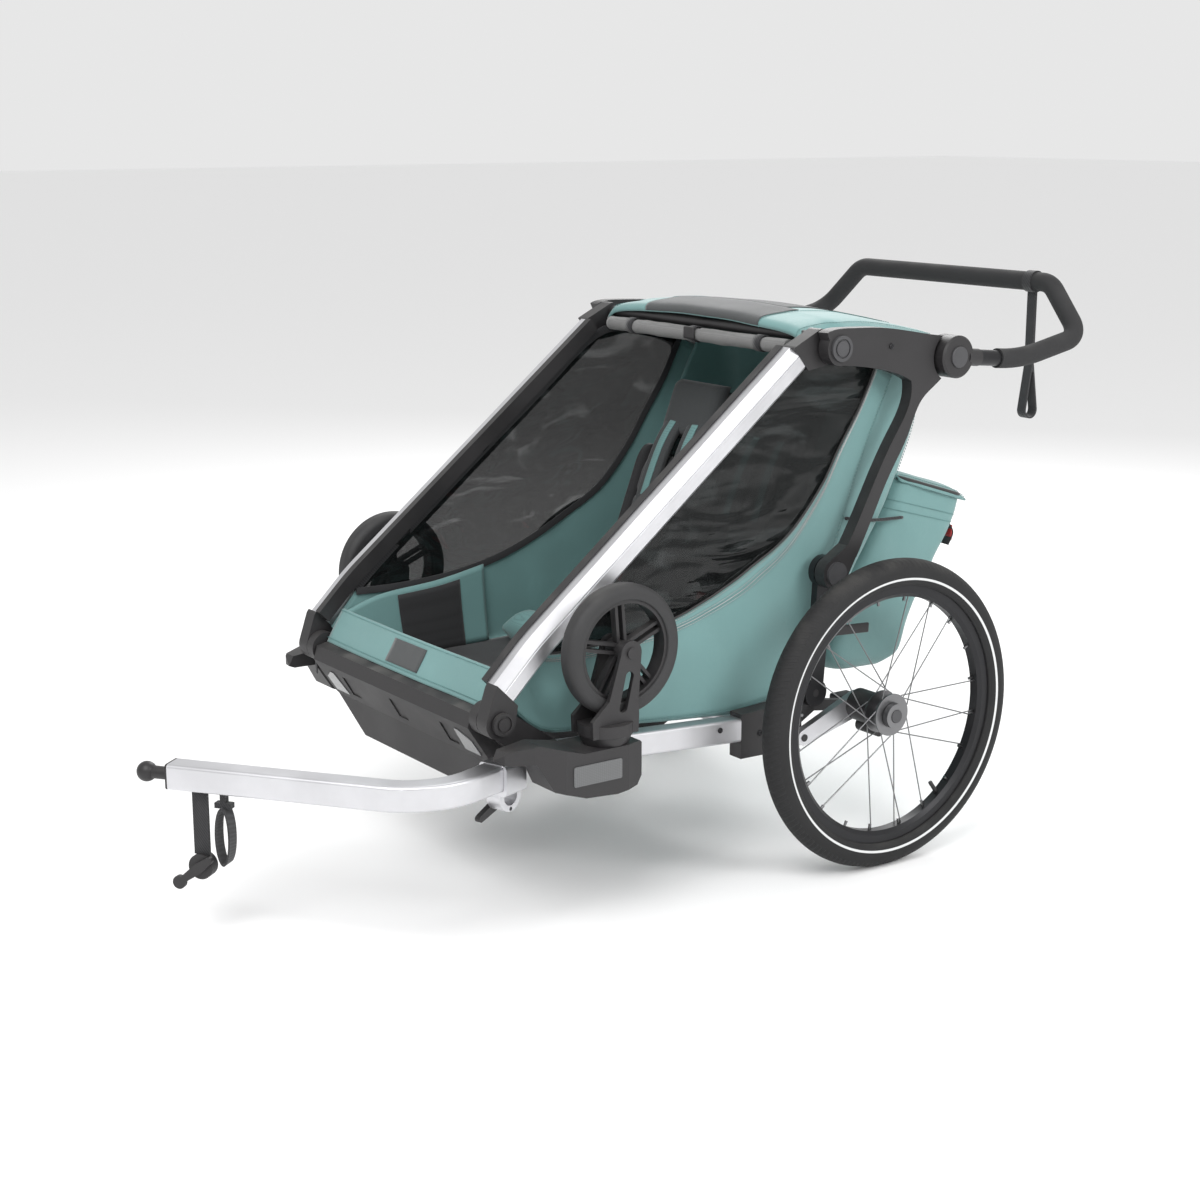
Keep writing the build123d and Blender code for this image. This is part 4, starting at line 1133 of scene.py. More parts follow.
@dataclass
class SidePanel:
    """One side's cloth: the lower panel, the window film and the seams between them."""

    side: Side
    plane: float = 256.0
    bow: float = 5.0
    divisions: int = 72

    window: tuple[Point, ...] = (
        (-604, 160), (-520, 158), (-430, 164), (-346, 178), (-270, 203), (-192, 240), (-113, 286), (-53, 351),
        (-14, 410), (26, 470), (60, 536),
    )
    outer: tuple[Point, ...] = (
        (-650, 106), (-580, 44), (-490, 32), (-400, 24), (-310, 16), (-215, 10), (-130, 24), (-70, 90),
        (-24, 235), (28, 375), (97, 520),
    )
    top: tuple[Point, ...] = (
        (-604, 160), (-560, 200), (-403, 328), (-240, 458), (-130, 545), (-60, 562), (60, 550),
    )

    def surface(self, back: float, up: float, lift: float = 0.0) -> Vector:
        """The panel's surface point over a side-view point, bowed slightly outwards.

        Args:
            back: distance behind the axle.
            up: height above the axle.
            lift: further out by this much, in millimetres.

        Returns:
            The point in the trailer's frame.
        """
        away = math.hypot((back + 230) / 330, (up - 260) / 300)
        x = self.plane + self.bow * math.cos(min(away, 1.5)) + lift
        p = at(x * self.side.value, back, up)
        slack = max(0.0, 1 - abs(up - 130) / 170)
        wrinkle = ripple(Vector((0, p.y + p.z * 0.5, p.z * 0.2)), 0.05, 0.0035 * slack, 11.0)
        p.x += (ripple(p, 0.09, 0.0022, 3.0) + wrinkle) * self.side.value
        return p

    def between(
        self, low: Sequence[Point], high: Sequence[Point], rows: int, lift: float = 0.0,
    ) -> list[list[Vector]]:
        """A grid of the panel's surface between two side-view lines.

        Args:
            low: the line that it starts from.
            high: the line that it ends at.
            rows: how many steps lie between them.
            lift: further out by this much, in millimetres.

        Returns:
            The grid's rows.
        """
        flat = [trace(side_view(line), self.divisions) for line in (low, high)]
        grid = []
        for j in range(rows + 1):
            row = [a.lerp(b, j / rows) for a, b in zip(*flat)]
            grid.append([self.surface(p.x, p.y, lift) for p in row])
        return grid

    @property
    def name(self) -> str:
        """The side's word in its pieces' names."""
        return self.side.name.lower()

    def cloths(self) -> tuple[bpy.types.Object, bpy.types.Object]:
        """Make the lower panel and the window.

        Returns:
            The panel's cloth and the window's film.
        """
        out = ACROSS * self.side.value
        panel = cloth_grid(f"{self.name}_side_cloth", self.between(self.outer, self.window, 14), out)
        paint(panel, "teal")
        clear = self.between(self.window, self.top, 22, -0.6)
        film = cloth_grid(f"{self.name}_window_film", clear, out, thick=FILM_THICK)
        return panel, paint(film, "film")

    def seams(self) -> list[bpy.types.Object]:
        """Make the piping, the second seam and the stitches.

        Returns:
            The pieces sewn to the cloth.
        """
        out = ACROSS * self.side.value
        edging = [self.between(self.window, self.outer, 20, 1.0)[k] for k in (0, 2)]
        bead = cord_mesh(f"{self.name}_window_piping", edging[0], 0.0018, out)
        second = cord_mesh(f"{self.name}_lower_seam", [p + out * 0.0002 for p in edging[1]], 0.0008, out)
        paint(bead, "grey")
        paint(second, "seam")
        rows = [self.between(self.window, self.outer, 40, 1.2)[k] for k in (1, 3, 5)]
        sewn = stitches(f"{self.name}_panel_stitches", rows, "seam")
        hem = self.between(self.outer, self.window, 30, 0.9)[1]
        return [bead, second, sewn, stitches(f"{self.name}_hem_stitches", [hem], "teal_thread", 0.006)]

    def window_edges(self) -> list[bpy.types.Object]:
        """Make the binding along the arm and the tape along the lower edge.

        Returns:
            The pieces sewn to the film.
        """
        out = ACROSS * self.side.value
        line = [p - out * 0.001 for p in trace([self.surface(a, b) for a, b in self.top], 70)]
        binding = strap_mesh(f"{self.name}_window_binding", line, 0.014, 0.002, Vector((0, 0.627, -0.779)))
        paint(binding, "webbing")
        inner = [self.surface(a, b, -5.0) for a, b in self.window]
        tape = strap_mesh(f"{self.name}_window_tape", trace(inner, 70), 0.012, 0.0016, Vector((0, 0.4, -0.9)))
        return [binding, paint(tape, "black")]

    def build(self) -> None:
        """Make the panel, the film, the piping and the stitches."""
        panel, film = self.cloths()
        seams = self.seams()
        edges = self.window_edges()
        if self.side is Side.LEFT:
            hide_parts("side_panels")
        for obj in (panel, film, *seams, *edges):
            hang_between(obj)
        area = sum(p.area for p in panel.data.polygons)
        film_area = sum(p.area for p in film.data.polygons)
        LOG.info("%s side panel: cloth %.3f m2, film %.3f m2", self.name, area, film_area)


# ---------------------------------------------------------------- roof


@dataclass
class Roof:
    """The canopy's top, from the front bow over the shoulders to the back."""

    half: float = 261.0
    wider: float = 17.0
    crown: float = 14.0
    line: tuple[Point, ...] = (
        (-93, 588), (-91, 598), (-78, 603), (-50, 606), (-10, 608), (50, 604), (110, 594), (174, 580),
    )

    def row(self, p: Vector, count: int = 61, reach: float | None = None) -> list[Vector]:
        """One row of the roof across the trailer, crowned in the middle.

        Args:
            p: the row's side-view point.
            count: how many points it has.
            reach: how far it goes on either side of the middle, or all the way.

        Returns:
            The row's points.
        """
        half = self.half + self.wider * min(1.0, max(0.0, (p.x + 34) / 12))
        points = []
        for i in range(count):
            x = (reach or half) * (-1 + 2 * i / (count - 1))
            share = x / half
            rise = self.crown * (1 - share * share) - 16 * abs(share) ** 22
            q = at(x, p.x, p.y + rise)
            q.z += ripple(q, 0.11, 0.0025, 9.0)
            points.append(q)
        return points

    def build(self) -> None:
        """Make the roof's cloth, its darker middle panel and the stitches on it."""
        line = trace(side_view(self.line), 40)
        roof = cloth_grid("roof_cloth", [self.row(p) for p in line], Vector((0, 0, 1)))
        paint(roof, "teal")
        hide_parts("roof_canopy")
        steps = ((0, 13, 150), (13, 26, 116), (26, 39, 148))
        panels = []
        for k, (start, end, wide) in enumerate(steps):
            part = line[start : end + 1]
            rows = [[q + Vector((0, 0, 0.0016)) for q in self.row(p, 61, wide)] for p in part]
            panel = cloth_grid(f"roof_middle_panel_{k + 1}", rows, Vector((0, 0, 1)), thick=0.0012)
            panels.append(paint(panel, "grey"))
        seams = []
        for share in (-0.93, -0.58, 0.58, 0.93):
            seam = [self.row(p, 201)[int(round((share + 1) * 100))] + Vector((0, 0, 0.0012)) for p in line]
            seams.append(seam)
        sewn = stitches("roof_stitches", seams, "teal_thread")
        for obj in (roof, *panels, sewn):
            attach(obj, "front_frame")
            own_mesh(obj)
        LOG.info("roof: %d pieces", 2 + len(panels))


@dataclass
class CoverRoll:
    """The weather cover rolled up under the roof's front edge, held by straps."""

    half: float = 236.0
    centre: Point = (-101.0, 573.0)
    radius: float = 12.0

    def build(self) -> None:
        """Make the roll, its straps and its buckle."""
        rows = []
        for i in range(81):
            x = -self.half + 2 * self.half * i / 80
            ring = []
            for k in range(30):
                turn = 2 * math.pi * k / 30
                pinch = 1.8 * (abs(x) < 12)
                wrap = self.radius * (0.93 + 0.07 * (k / 30)) - pinch - 1.2 * (abs(abs(x) - 170) < 10)
                p = at(x, self.centre[0] + wrap * math.cos(turn), self.centre[1] + wrap * math.sin(turn))
                p.z += ripple(p, 0.03, 0.0012, 5.0)
                ring.append(p)
            rows.append(ring)
        roll = cloth_grid("cover_roll_cloth", rows, UPWARD, ring=True, thick=0)
        close_ends(roll, len(rows), 30)
        paint(roll, "roll")
        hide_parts("cover_roll")
        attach(roll, "front_frame")
        for k, x in enumerate((-170, 0, 170)):
            ring = []
            for i in range(28):
                turn = 2 * math.pi * i / 28
                reach = self.radius + 0.8
                back = self.centre[0] + reach * math.cos(turn)
                ring.append(at(x, back, self.centre[1] + reach * math.sin(turn)))
            strap = loop_strap(f"cover_strap_{k + 1}", ring, 0.018, 0.0012, Vector((1, 0, 0)))
            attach(paint(strap, "webbing"), "front_frame")
        buckle = block(
            "cover_buckle", at(0, self.centre[0] - 14, self.centre[1] + 3), Vector((0.026, 0.005, 0.020)),
        )
        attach(paint(buckle, "plastic"), "front_frame")
        LOG.info("cover roll")


def close_ends(obj: bpy.types.Object, rows: int, count: int) -> None:
    """Fill the two open ends of a tube made row by row.

    Args:
        obj: the tube.
        rows: how many rows it has.
        count: how many points a row has.
    """
    bm = bmesh.new()
    bm.from_mesh(obj.data)
    bm.verts.ensure_lookup_table()
    bm.faces.new([bm.verts[k] for k in range(count)])
    bm.faces.new([bm.verts[(rows - 1) * count + k] for k in range(count)])
    bmesh.ops.recalc_face_normals(bm, faces=bm.faces)
    bm.to_mesh(obj.data)
    bm.free()


def loop_strap(
    name: str, ring: Sequence[Vector], width: float, thick: float, flat: Vector,
) -> bpy.types.Object:
    """A closed band that goes round something.

    Args:
        name: the piece's name.
        ring: the band's centre line, without its first point again.
        width: its width.
        thick: its thickness.
        flat: the way its width runs.

    Returns:
        The new object.
    """
    centre = sum(ring, Vector()) / len(ring)
    verts, faces = [], []
    for p in ring:
        out = (p - centre).normalized() * thick / 2
        for a, b in ((-1, -1), (1, -1), (1, 1), (-1, 1)):
            verts.append(p + flat * a * width / 2 + out * b)
    count = len(ring)
    for i in range(count):
        j = (i + 1) % count
        for k in range(4):
            m = (k + 1) % 4
            faces.append((i * 4 + k, i * 4 + m, j * 4 + m, j * 4 + k))
    return face_outward(piece(name, verts, faces))


# ---------------------------------------------------------------- back cover, seats and harness


@dataclass
class BackCover:
    """The cloth behind the seats, from the side panels round the back."""

    side_edge: tuple[Point, ...] = (
        (-74, 60), (-52, 130), (-24, 235), (-2, 310), (28, 380), (76, 482), (100, 530), (108, 572),
    )
    back_edge: tuple[Point, ...] = (
        (-34, 50), (12, 130), (76, 240), (122, 316), (150, 370), (176, 452), (172, 520), (168, 574),
    )

    def build(self) -> None:
        """Make the cover and its seams."""
        sides = trace(side_view(self.side_edge), 40)
        backs = trace(side_view(self.back_edge), 40)
        rows = []
        for near, far in zip(sides, backs):
            control = [
                at(255, near.x, near.y), at(
                    252, near.x + (far.x - near.x) * 0.5, near.y + (far.y - near.y) * 0.5,
                ),
                at(
                    240, near.x + (far.x - near.x) * 0.86, far.y,
                ), at(212, far.x, far.y), at(110, far.x + 6, far.y),
                at(0, far.x + 4, far.y),
            ]
            mirrored = [Vector((-p.x, p.y, p.z)) for p in reversed(control[:-1])]
            row = trace([*control, *mirrored], 81)
            share = len(rows) / (len(sides) - 1)
            for p in row:
                p.y += ripple(p, 0.10, 0.005, 1.0)
                p.z += 0.022 * share**4 * (1 - (p.x / 0.256) ** 2) if p.y > at(0, 120, 0).y else 0.0
            rows.append(row)
        cover = paint(cloth_grid("back_cover_cloth", rows, Vector((0, 1, 0))), "teal")
        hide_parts("seat_back")
        crumple(cover)
        seam_lines = []
        for k, sign in ((13, 1), (67, -1)):
            seam_lines.append([row[k] + Vector((0.001 * sign, 0.001, 0)) for row in rows])
        sewn = crumple(stitches("back_cover_stitches", seam_lines, "teal_thread"))
        LOG.info("back cover")


@dataclass
class Seat:
    """One child's seat: cushion, padded back, mesh top and five-point harness."""

    side: Side
    middle: float = 114.0
    half: float = 102.0
    low: Point = (-122.0, 96.0)
    high: Point = (40.0, 520.0)
    bands: tuple[float, ...] = (0.16, 0.30, 0.44)
    band_half: float = 78.0
    mesh_half: float = 84.0
    head_half: float = 70.0
    cushion_half: float = 108.0
    inset_half: float = 66.0
    belt_width: float = 0.024
    belt_thick: float = 0.0018
    shoulder_belt: tuple[tuple[float, float, float], ...] = (
        (30, 0.74, 20), (34, 0.60, 34), (36, 0.36, 36), (22, 0.12, 42),
    )
    lap_belt: tuple[tuple[float, float, float], ...] = ((94, 0.06, 22), (62, 0.03, 60), (14, 0.08, 62))

    def lean(self) -> tuple[Vector, Vector]:
        """The way up the seat's back, and the way its face looks."""
        up = (at(0, *self.high) - at(0, *self.low)).normalized()
        return up, Vector((0, -up.z, up.y))

    @property
    def name(self) -> str:
        """The side's word in its pieces' names."""
        return self.side.name.lower()

    def on_back(self, across: float, share: float, lift: float = 0.0) -> Vector:
        """A point on the back's face.

        Args:
            across: millimetres from the seat's middle.
            share: the share of the back's height.
            lift: millimetres off the face.

        Returns:
            The point in metres.
        """
        x = self.side.value * self.middle + across
        return at(x, *self.low).lerp(at(x, *self.high), share) + self.lean()[1] * lift * MM

    def face(self, half: float, start: float, run: float, lift: float) -> Callable[[float, float], Vector]:
        """A part of the back's face, as a surface over (0 to 1, 0 to 1)."""
        return lambda u, v: self.on_back((u * 2 - 1) * half, start + v * run, lift)

    def channels(self, u: float, v: float) -> float:
        """The back pad's depth, with two sewn channels across."""
        cut = min(abs(v - 0.36), abs(v - 0.70))
        return (0.019 - 0.010 * math.exp(-((cut / 0.018) ** 2))) * (0.85 + 0.3 * math.sin(math.pi * u))

    def padded_back(self) -> list[bpy.types.Object]:
        """Make the back's pad and the pale bands across it.

        Returns:
            The pads.
        """
        out = self.lean()[1]
        back = pad_mesh(
            f"{self.name}_back_pad", self.face(self.half, 0.02, 0.56, 6), self.channels, out, 40, 46,
        )
        made = [paint(back, "grey_pad")]
        for k, share in enumerate(self.bands):
            face = self.face(self.band_half, share, 0.055, 22)
            band = pad_mesh(f"{self.name}_back_band_pad_{k + 1}", face, lambda u, v: 0.006, out, 30, 8)
            made.append(paint(band, "pale_pad"))
        return made

    def mesh_top(self) -> bpy.types.Object:
        """Make the open mesh above the pad.

        Returns:
            The mesh cloth.
        """
        rows = []
        for j in range(21):
            share = 0.56 + 0.30 * j / 20
            row = []
            for i in range(25):
                lift = 6 - 8 * math.sin(math.pi * i / 24)
                row.append(self.on_back((i / 24 * 2 - 1) * self.mesh_half, share, lift))
            rows.append(row)
        return paint(cloth_grid(f"{self.name}_back_mesh", rows, self.lean()[1], thick=0.002), "mesh")

    def head_pad(self) -> bpy.types.Object:
        """Make the pad behind the child's head.

        Returns:
            The pad.
        """
        face = self.face(self.head_half, 0.66, 0.22, 10)
        head = pad_mesh(f"{self.name}_head_pad", face, lambda u, v: 0.020, self.lean()[1], 26, 20)
        return paint(head, "grey_pad")

    def harness_side(self, number: int, sign: int) -> list[bpy.types.Object]:
        """Make one side's bolster, shoulder strap with its pad, and lap belt.

        Args:
            number: the side's number in its pieces' names.
            sign: the side's sign along X.

        Returns:
            The pieces.
        """
        up, out = self.lean()
        edge = pad_mesh(
            f"{self.name}_back_bolster_{number}",
            lambda u, v: self.on_back(sign * (self.half - 16 * u), 0.05 + v * 0.56, 14),
            lambda u, v: 0.017, out, 10, 46,
        )
        made = [paint(edge, "black")]
        line = trace([self.on_back(sign * a, share, lift) for a, share, lift in self.shoulder_belt], 40)
        pad = strap_mesh(f"{self.name}_shoulder_pad_{number}", line[:24], 0.044, 0.011, ACROSS)
        made.append(paint(pad, "grey_pad"))
        on_pad = [p + out * 0.0062 for p in line[2:22]]
        stripe = strap_mesh(f"{self.name}_pad_stripe_{number}", on_pad, 0.016, 0.002, ACROSS)
        made.append(paint(stripe, "teal_pad"))
        belt = strap_mesh(f"{self.name}_belt_{number}", line, self.belt_width, self.belt_thick, ACROSS)
        made.append(paint(belt, "webbing"))
        route = trace([self.on_back(sign * a, share, lift) for a, share, lift in self.lap_belt], 20)
        lap = strap_mesh(f"{self.name}_lap_belt_{number}", route, self.belt_width, self.belt_thick, up)
        return [*made, paint(lap, "webbing")]

    def buckle(self) -> list[bpy.types.Object]:
        """Make the buckle, its button and the crotch belt.

        Returns:
            The pieces.
        """
        up, out = self.lean()
        centre = self.on_back(0, 0.09, 62)
        case = block(f"{self.name}_buckle", centre, Vector((0.040, 0.016, 0.050)), out, up, 0.006)
        paint(case, "plastic")
        size = Vector((0.022, 0.004, 0.022))
        button = block(f"{self.name}_buckle_button", centre + out * 0.0085, size, out, up, 0.0015)
        paint(button, "red")
        x = self.side.value * self.middle
        route = trace([centre - up * 0.02, at(x, -196, 116), at(x, -210, 88)], 16)
        crotch = strap_mesh(f"{self.name}_crotch_belt", route, 0.026, 0.002, ACROSS)
        return [case, button, paint(crotch, "webbing")]

    def crown(self, u: float, v: float) -> float:
        """The cushion's depth: a roll at its front and one sewn channel across."""
        roll = 0.010 * math.exp(-(((v - 0.08) / 0.14) ** 2))
        return 0.020 + roll - 0.006 * math.exp(-(((v - 0.5) / 0.02) ** 2))

    def cushion(self) -> list[bpy.types.Object]:
        """Make the cushion and its inset.

        Returns:
            The two pads.
        """
        x = self.side.value * self.middle
        out = Vector((0, 0.05, 1)).normalized()
        base = pad_mesh(
            f"{self.name}_cushion",
            lambda u, v: at(x + (u * 2 - 1) * self.cushion_half, -352 + v * 236, 70 - v * 16),
            self.crown, out, 40, 40, 0.8,
        )
        paint(swell(base, 0.008), "teal_pad")
        inset = pad_mesh(
            f"{self.name}_cushion_inset",
            lambda u, v: at(x + (u * 2 - 1) * self.inset_half, -318 + v * 190, 92 - v * 16),
            lambda u, v: 0.009, out, 26, 26, 0.5,
        )
        return [base, paint(inset, "grey_pad")]

    def is_filled(self, name: str) -> bool:
        """Whether a piece of the seat is padding."""
        pad = "pad" in name and "shoulder" not in name and "stripe" not in name
        return pad or "bolster" in name or "cushion" in name

    def build(self) -> None:
        """Make the seat and tie its pieces to the chassis."""
        made = self.padded_back()
        mesh = self.mesh_top()
        made += [mesh, self.head_pad()]
        for number, sign in ((1, -1), (2, 1)):
            made += self.harness_side(number, sign)
        made += self.buckle()
        base, inset = self.cushion()
        made += [base, inset]
        for obj in made:
            crumple(obj)
        for obj in made:
            self.is_filled(obj.name)
        if self.side is Side.LEFT:
            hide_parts("seat_cushion")
        f"{self.name}_back_pad"
        LOG.info("%s seat: %d pieces", self.name, len(made))


# ---------------------------------------------------------------- footwell and front band


@dataclass
class Footwell:
    """The floor's cloth, the front band and the zip at its far end."""

    half: float = 236.0
    wider: float = 13.0
    band_half: float = 238.0
    floor_line: tuple[Point, ...] = (
        (-636, 132), (-640, 84), (-628, 10), (-600, -2), (-560, 36), (-450, 40), (-356, 42), (-170, 46),
        (-110, 48), (-44, 50),
    )
    liner_top: tuple[Point, ...] = ((-634, 128), (-560, 150), (-450, 160), (-360, 176))
    liner_foot: tuple[Point, ...] = ((-618, 20), (-556, 40), (-450, 42), (-356, 44))
    band_line: tuple[Point, ...] = (
        (-668, 88), (-660, 102), (-650, 118), (-641, 134), (-637, 139), (-633, 136), (-634, 128),
    )

    def floor(self) -> None:
        """Make the floor's cloth, from the front wall to the seats' back."""
        rows = []
        for p in trace(side_view(self.floor_line), 56):
            half = self.half + self.wider * min(1.0, max(0.0, (p.x + 560) / 40))
            row = []
            for i in range(41):
                q = at(-half + 2 * half * i / 40, p.x, p.y + 1.0)
                q.z += ripple(q, 0.08, 0.003, 4.0)
                row.append(q)
            rows.append(row)
        floor = paint(cloth_grid("floor_cloth", rows, UPWARD, thick=0.002), "black")
        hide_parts("floor_panel")
        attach(floor, "chassis")

    def liner(self, side: Side) -> None:
        """Make one side's lining beside the feet, with its pocket.

        Args:
            side: which side.
        """
        high, low = [trace(side_view(line), 40) for line in (self.liner_top, self.liner_foot)]
        grid = []
        for j in range(13):
            row = [a.lerp(b, j / 12) for a, b in zip(high, low)]
            grid.append([at(side.value * (249 - 9 * (j / 12) ** 2), p.x, p.y) for p in row])
        name = side.name.lower()
        liner = cloth_grid(f"{name}_foot_liner", grid, Vector((-side.value, 0, 0)))
        crumple(paint(liner, "teal"))
        inward = Vector((-side.value * 0.0022, 0, 0))
        rows = [[p + inward for p in row[15:33]] for row in grid[1:]]
        pocket = cloth_grid(f"{name}_foot_pocket", rows, inward, thick=0.0012)
        crumple(paint(pocket, "black"))

    def band(self) -> None:
        """Make the front band, its blank patch and its stitches."""
        rows = []
        for a, b in self.band_line:
            row = []
            for i in range(61):
                q = at(-self.band_half + 2 * self.band_half * i / 60, a - 3.0 * math.sin(math.pi * i / 60), b)
                q.y += ripple(q, 0.10, 0.0015, 2.0)
                row.append(q)
            rows.append(row)
        smooth = [list(col) for col in zip(*[trace(list(col), 22) for col in zip(*rows)])]
        out = Vector((0, -1, 0.5))
        band = paint(cloth_grid("front_band_cloth", smooth, out, thick=0.0025), "teal")
        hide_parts("front_band")
        patch_rows = [[q + Vector((0, -0.0012, 0.0008)) for q in row[24:37]] for row in smooth[3:15]]
        patch = paint(cloth_grid("front_band_patch", patch_rows, out, thick=0.001), "grey")
        lines = [[q + Vector((0, -0.0008, 0.0006)) for q in smooth[k]] for k in (2, 16)]
        sewn = stitches("front_band_stitches", lines, "teal_thread")
        for obj in (band, patch, sewn):
            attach(obj, "chassis")

    def build(self) -> None:
        """Make the floor, the linings, the band and the zip's pull."""
        self.floor()
        for side in Side:
            self.liner(side)
        self.band()
        pull = strap_mesh("zip_pull", [at(-262, -676, 66 - 6 * k) for k in range(7)], 0.006, 0.0015, ACROSS)
        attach(paint(pull, "webbing"), "chassis")
        LOG.info("footwell and front band")


# ---------------------------------------------------------------- cargo bag


@dataclass
class CargoBag:
    """The soft bag behind the cabin, with its lid."""

    half: float = 234.0
    corner: float = 26.0
    front: tuple[Point, ...] = ((145, 343), (118, 292), (70, 214), (30, 148), (11, 100), (7, 60), (14, 32))
    rear: tuple[Point, ...] = (
        (298, 296), (286, 262), (250, 208), (212, 150), (188, 96), (174, 54), (152, 28),
    )
    widest: float = 0.2375
    levels: int = 46
    around: int = 140
    hinge: Point = (147.0, 349.0)
    lid_end: Point = (304.0, 302.0)

    def section(self, front: Vector, rear: Vector, draw: float = 0.0) -> list[Vector]:
        """One ring of the bag: a rounded rectangle from its front line to its rear line.

        Args:
            front: the front line's side-view point.
            rear: the rear line's side-view point.
            draw: how far the ring is drawn in, in millimetres.

        Returns:
            The ring's points.
        """
        long = (rear - front).length
        run = (rear - front) / long
        half_x, half_y = self.half - draw, long / 2 - draw
        r = min(self.corner, half_y * 0.9)
        middle = (front + rear) / 2
        ring = []
        for cx, cy, start in ((1, 1, 0), (-1, 1, 90), (-1, -1, 180), (1, -1, 270)):
            for k in range(7):
                turn = math.radians(start + 15 * k)
                ring.append((cx * (half_x - r) + r * math.cos(turn), cy * (half_y - r) + r * math.sin(turn)))
        dense = []
        for (a, b), (c, d) in zip(ring, ring[1:] + ring[:1]):
            steps = max(1, int(math.hypot(c - a, d - b) / 9))
            dense += [(a + (c - a) * k / steps, b + (d - b) * k / steps) for k in range(steps)]
        return [at(x, middle.x + run.x * y, middle.y + run.y * y) for x, y in dense]

    def rings(self) -> list[list[Vector]]:
        """The bag's rings from its rim down, sagging, and drawn together under it.

        Returns:
            The rings, each with the same count of points.
        """
        fronts = trace(side_view(self.front), self.levels)
        rears = trace(side_view(self.rear), self.levels)
        rings = []
        for j, (f, r) in enumerate(zip(fronts, rears)):
            ring = self.section(f, r, 12 * max(0.0, (j - self.levels + 5) / 4) ** 2)
            rings.append(spaced([*ring, ring[0]], self.around + 1)[:-1])
        for j, ring in enumerate(rings):
            depth = math.sin(math.pi * min(1.0, j / (self.levels * 0.8)))
            centre = sum(ring, Vector()) / len(ring)
            for p in ring:
                away = Vector((p.x - centre.x, p.y - centre.y, 0)).normalized()
                p += away * (ripple(p, 0.075, 0.007, 7.0) * depth + 0.003 * depth - 0.003)
                p.x = max(-self.widest, min(self.widest, p.x))
        base = rings[-1]
        centre = sum(base, Vector()) / len(base)
        for share in (0.7, 0.4, 0.12):
            rings.append([centre.lerp(p, share) - Vector((0, 0, 0.002)) for p in base])
        return rings

    def hem_stitches(self, rings: Sequence[Sequence[Vector]]) -> bpy.types.Object:
        """Sew two rows of stitches under the rim.

        Args:
            rings: the bag's rings.

        Returns:
            The stitches.
        """
        lifted = []
        for hem in [[*rings[k], rings[k][0]] for k in (5, 7)]:
            middle = sum(hem, Vector()) / len(hem)
            outward = [Vector((p.x - middle.x, p.y - middle.y, 0)).normalized() * 0.0010 for p in hem]
            lifted.append([p + step for p, step in zip(hem, outward)])
        return stitches("cargo_bag_stitches", lifted, "teal_thread")

    def side_stitches(self, rings: Sequence[Sequence[Vector]]) -> bpy.types.Object:
        """Sew a seam down each side.

        Args:
            rings: the bag's rings.

        Returns:
            The stitches.
        """
        seams = []
        for index in (24, 116):
            near = [rings[j][index] for j in range(2, self.levels)]
            seams.append([p + Vector((0.0011 if p.x > 0 else -0.0011, 0.0008, 0)) for p in near])
        return stitches("cargo_bag_side_stitches", seams, "teal_thread")

    def light_loop(self, ring: Sequence[Vector]) -> list[bpy.types.Object]:
        """Make the loop for a lamp and the small reflector, on the bag's rear.

        Args:
            ring: the ring that they are sewn on.

        Returns:
            The two pieces.
        """
        rear = max(ring, key=lambda p: p.y + p.x * 0.3)
        route = [rear + Vector(p) for p in ((0, 0.001, 0.018), (0.001, 0.010, 0.0), (0, 0.001, -0.020))]
        loop = strap_mesh("bag_light_loop", trace(route, 14), 0.024, 0.0016, ACROSS)
        paint(loop, "webbing")
        place = rear + Vector((0, 0.0085, 0))
        return [loop, paint(block("bag_reflector", place, Vector((0.022, 0.003, 0.026)), edge=0.001), "red")]

    def elastic(self, side: Side) -> bpy.types.Object:
        """Make the elastic from one strut's hook to the bag.

        Args:
            side: which side.

        Returns:
            The elastic.
        """
        s = side.value
        line = trace([at(s * 262, 2, 296), at(s * 252, 70, 284), at(s * 240, 146, 278)], 24)
        return paint(
            cord_mesh(f"{side.name.lower()}_bag_elastic", line, 0.0027, Vector((1, 0, 0.1))), "webbing",
        )

    def lid_row(self, share: float) -> list[Vector]:
        """One row of the lid across the trailer.

        Args:
            share: from -1 at the hinge to 1 at the free edge.

        Returns:
            The row's points.
        """
        row = []
        for i in range(61):
            t = -1 + 2 * i / 60
            pull = 1 - 0.035 * (t * t * share * share) ** 2
            along = 0.5 + 0.5 * share * pull
            back = self.hinge[0] - 2 + (self.lid_end[0] + 1 - self.hinge[0]) * along
            up = self.hinge[1] + (self.lid_end[1] - self.hinge[1]) * along
            edge = max(abs(t) ** 14, max(0.0, share) ** 8)
            rise = 2.5 + 5.5 * (1 - t**6) * (1 - share**4) - 15 * edge
            q = at(t * pull * 238.5, back, up + rise)
            q.z += ripple(q, 0.09, 0.003, 8.0)
            row.append(q)
        return row

    def lid(self) -> None:
        """Make the lid and its stitched border."""
        rows = [self.lid_row(-1 + 2 * j / 26) for j in range(27)]
        lid = paint(cloth_grid("cargo_lid_cloth", rows, UPWARD, thick=0.002), "teal")
        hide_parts("cargo_lid")
        lines = [[p + Vector((0, 0.001, 0.001)) for p in rows[-2]]]
        lines += [[row[k] + Vector((0, 0, 0.0012)) for row in rows] for k in (2, -3)]
        border = stitches("cargo_lid_stitches", lines, "teal_thread")
        for obj in (lid, border):
            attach(obj, "cargo_lid")

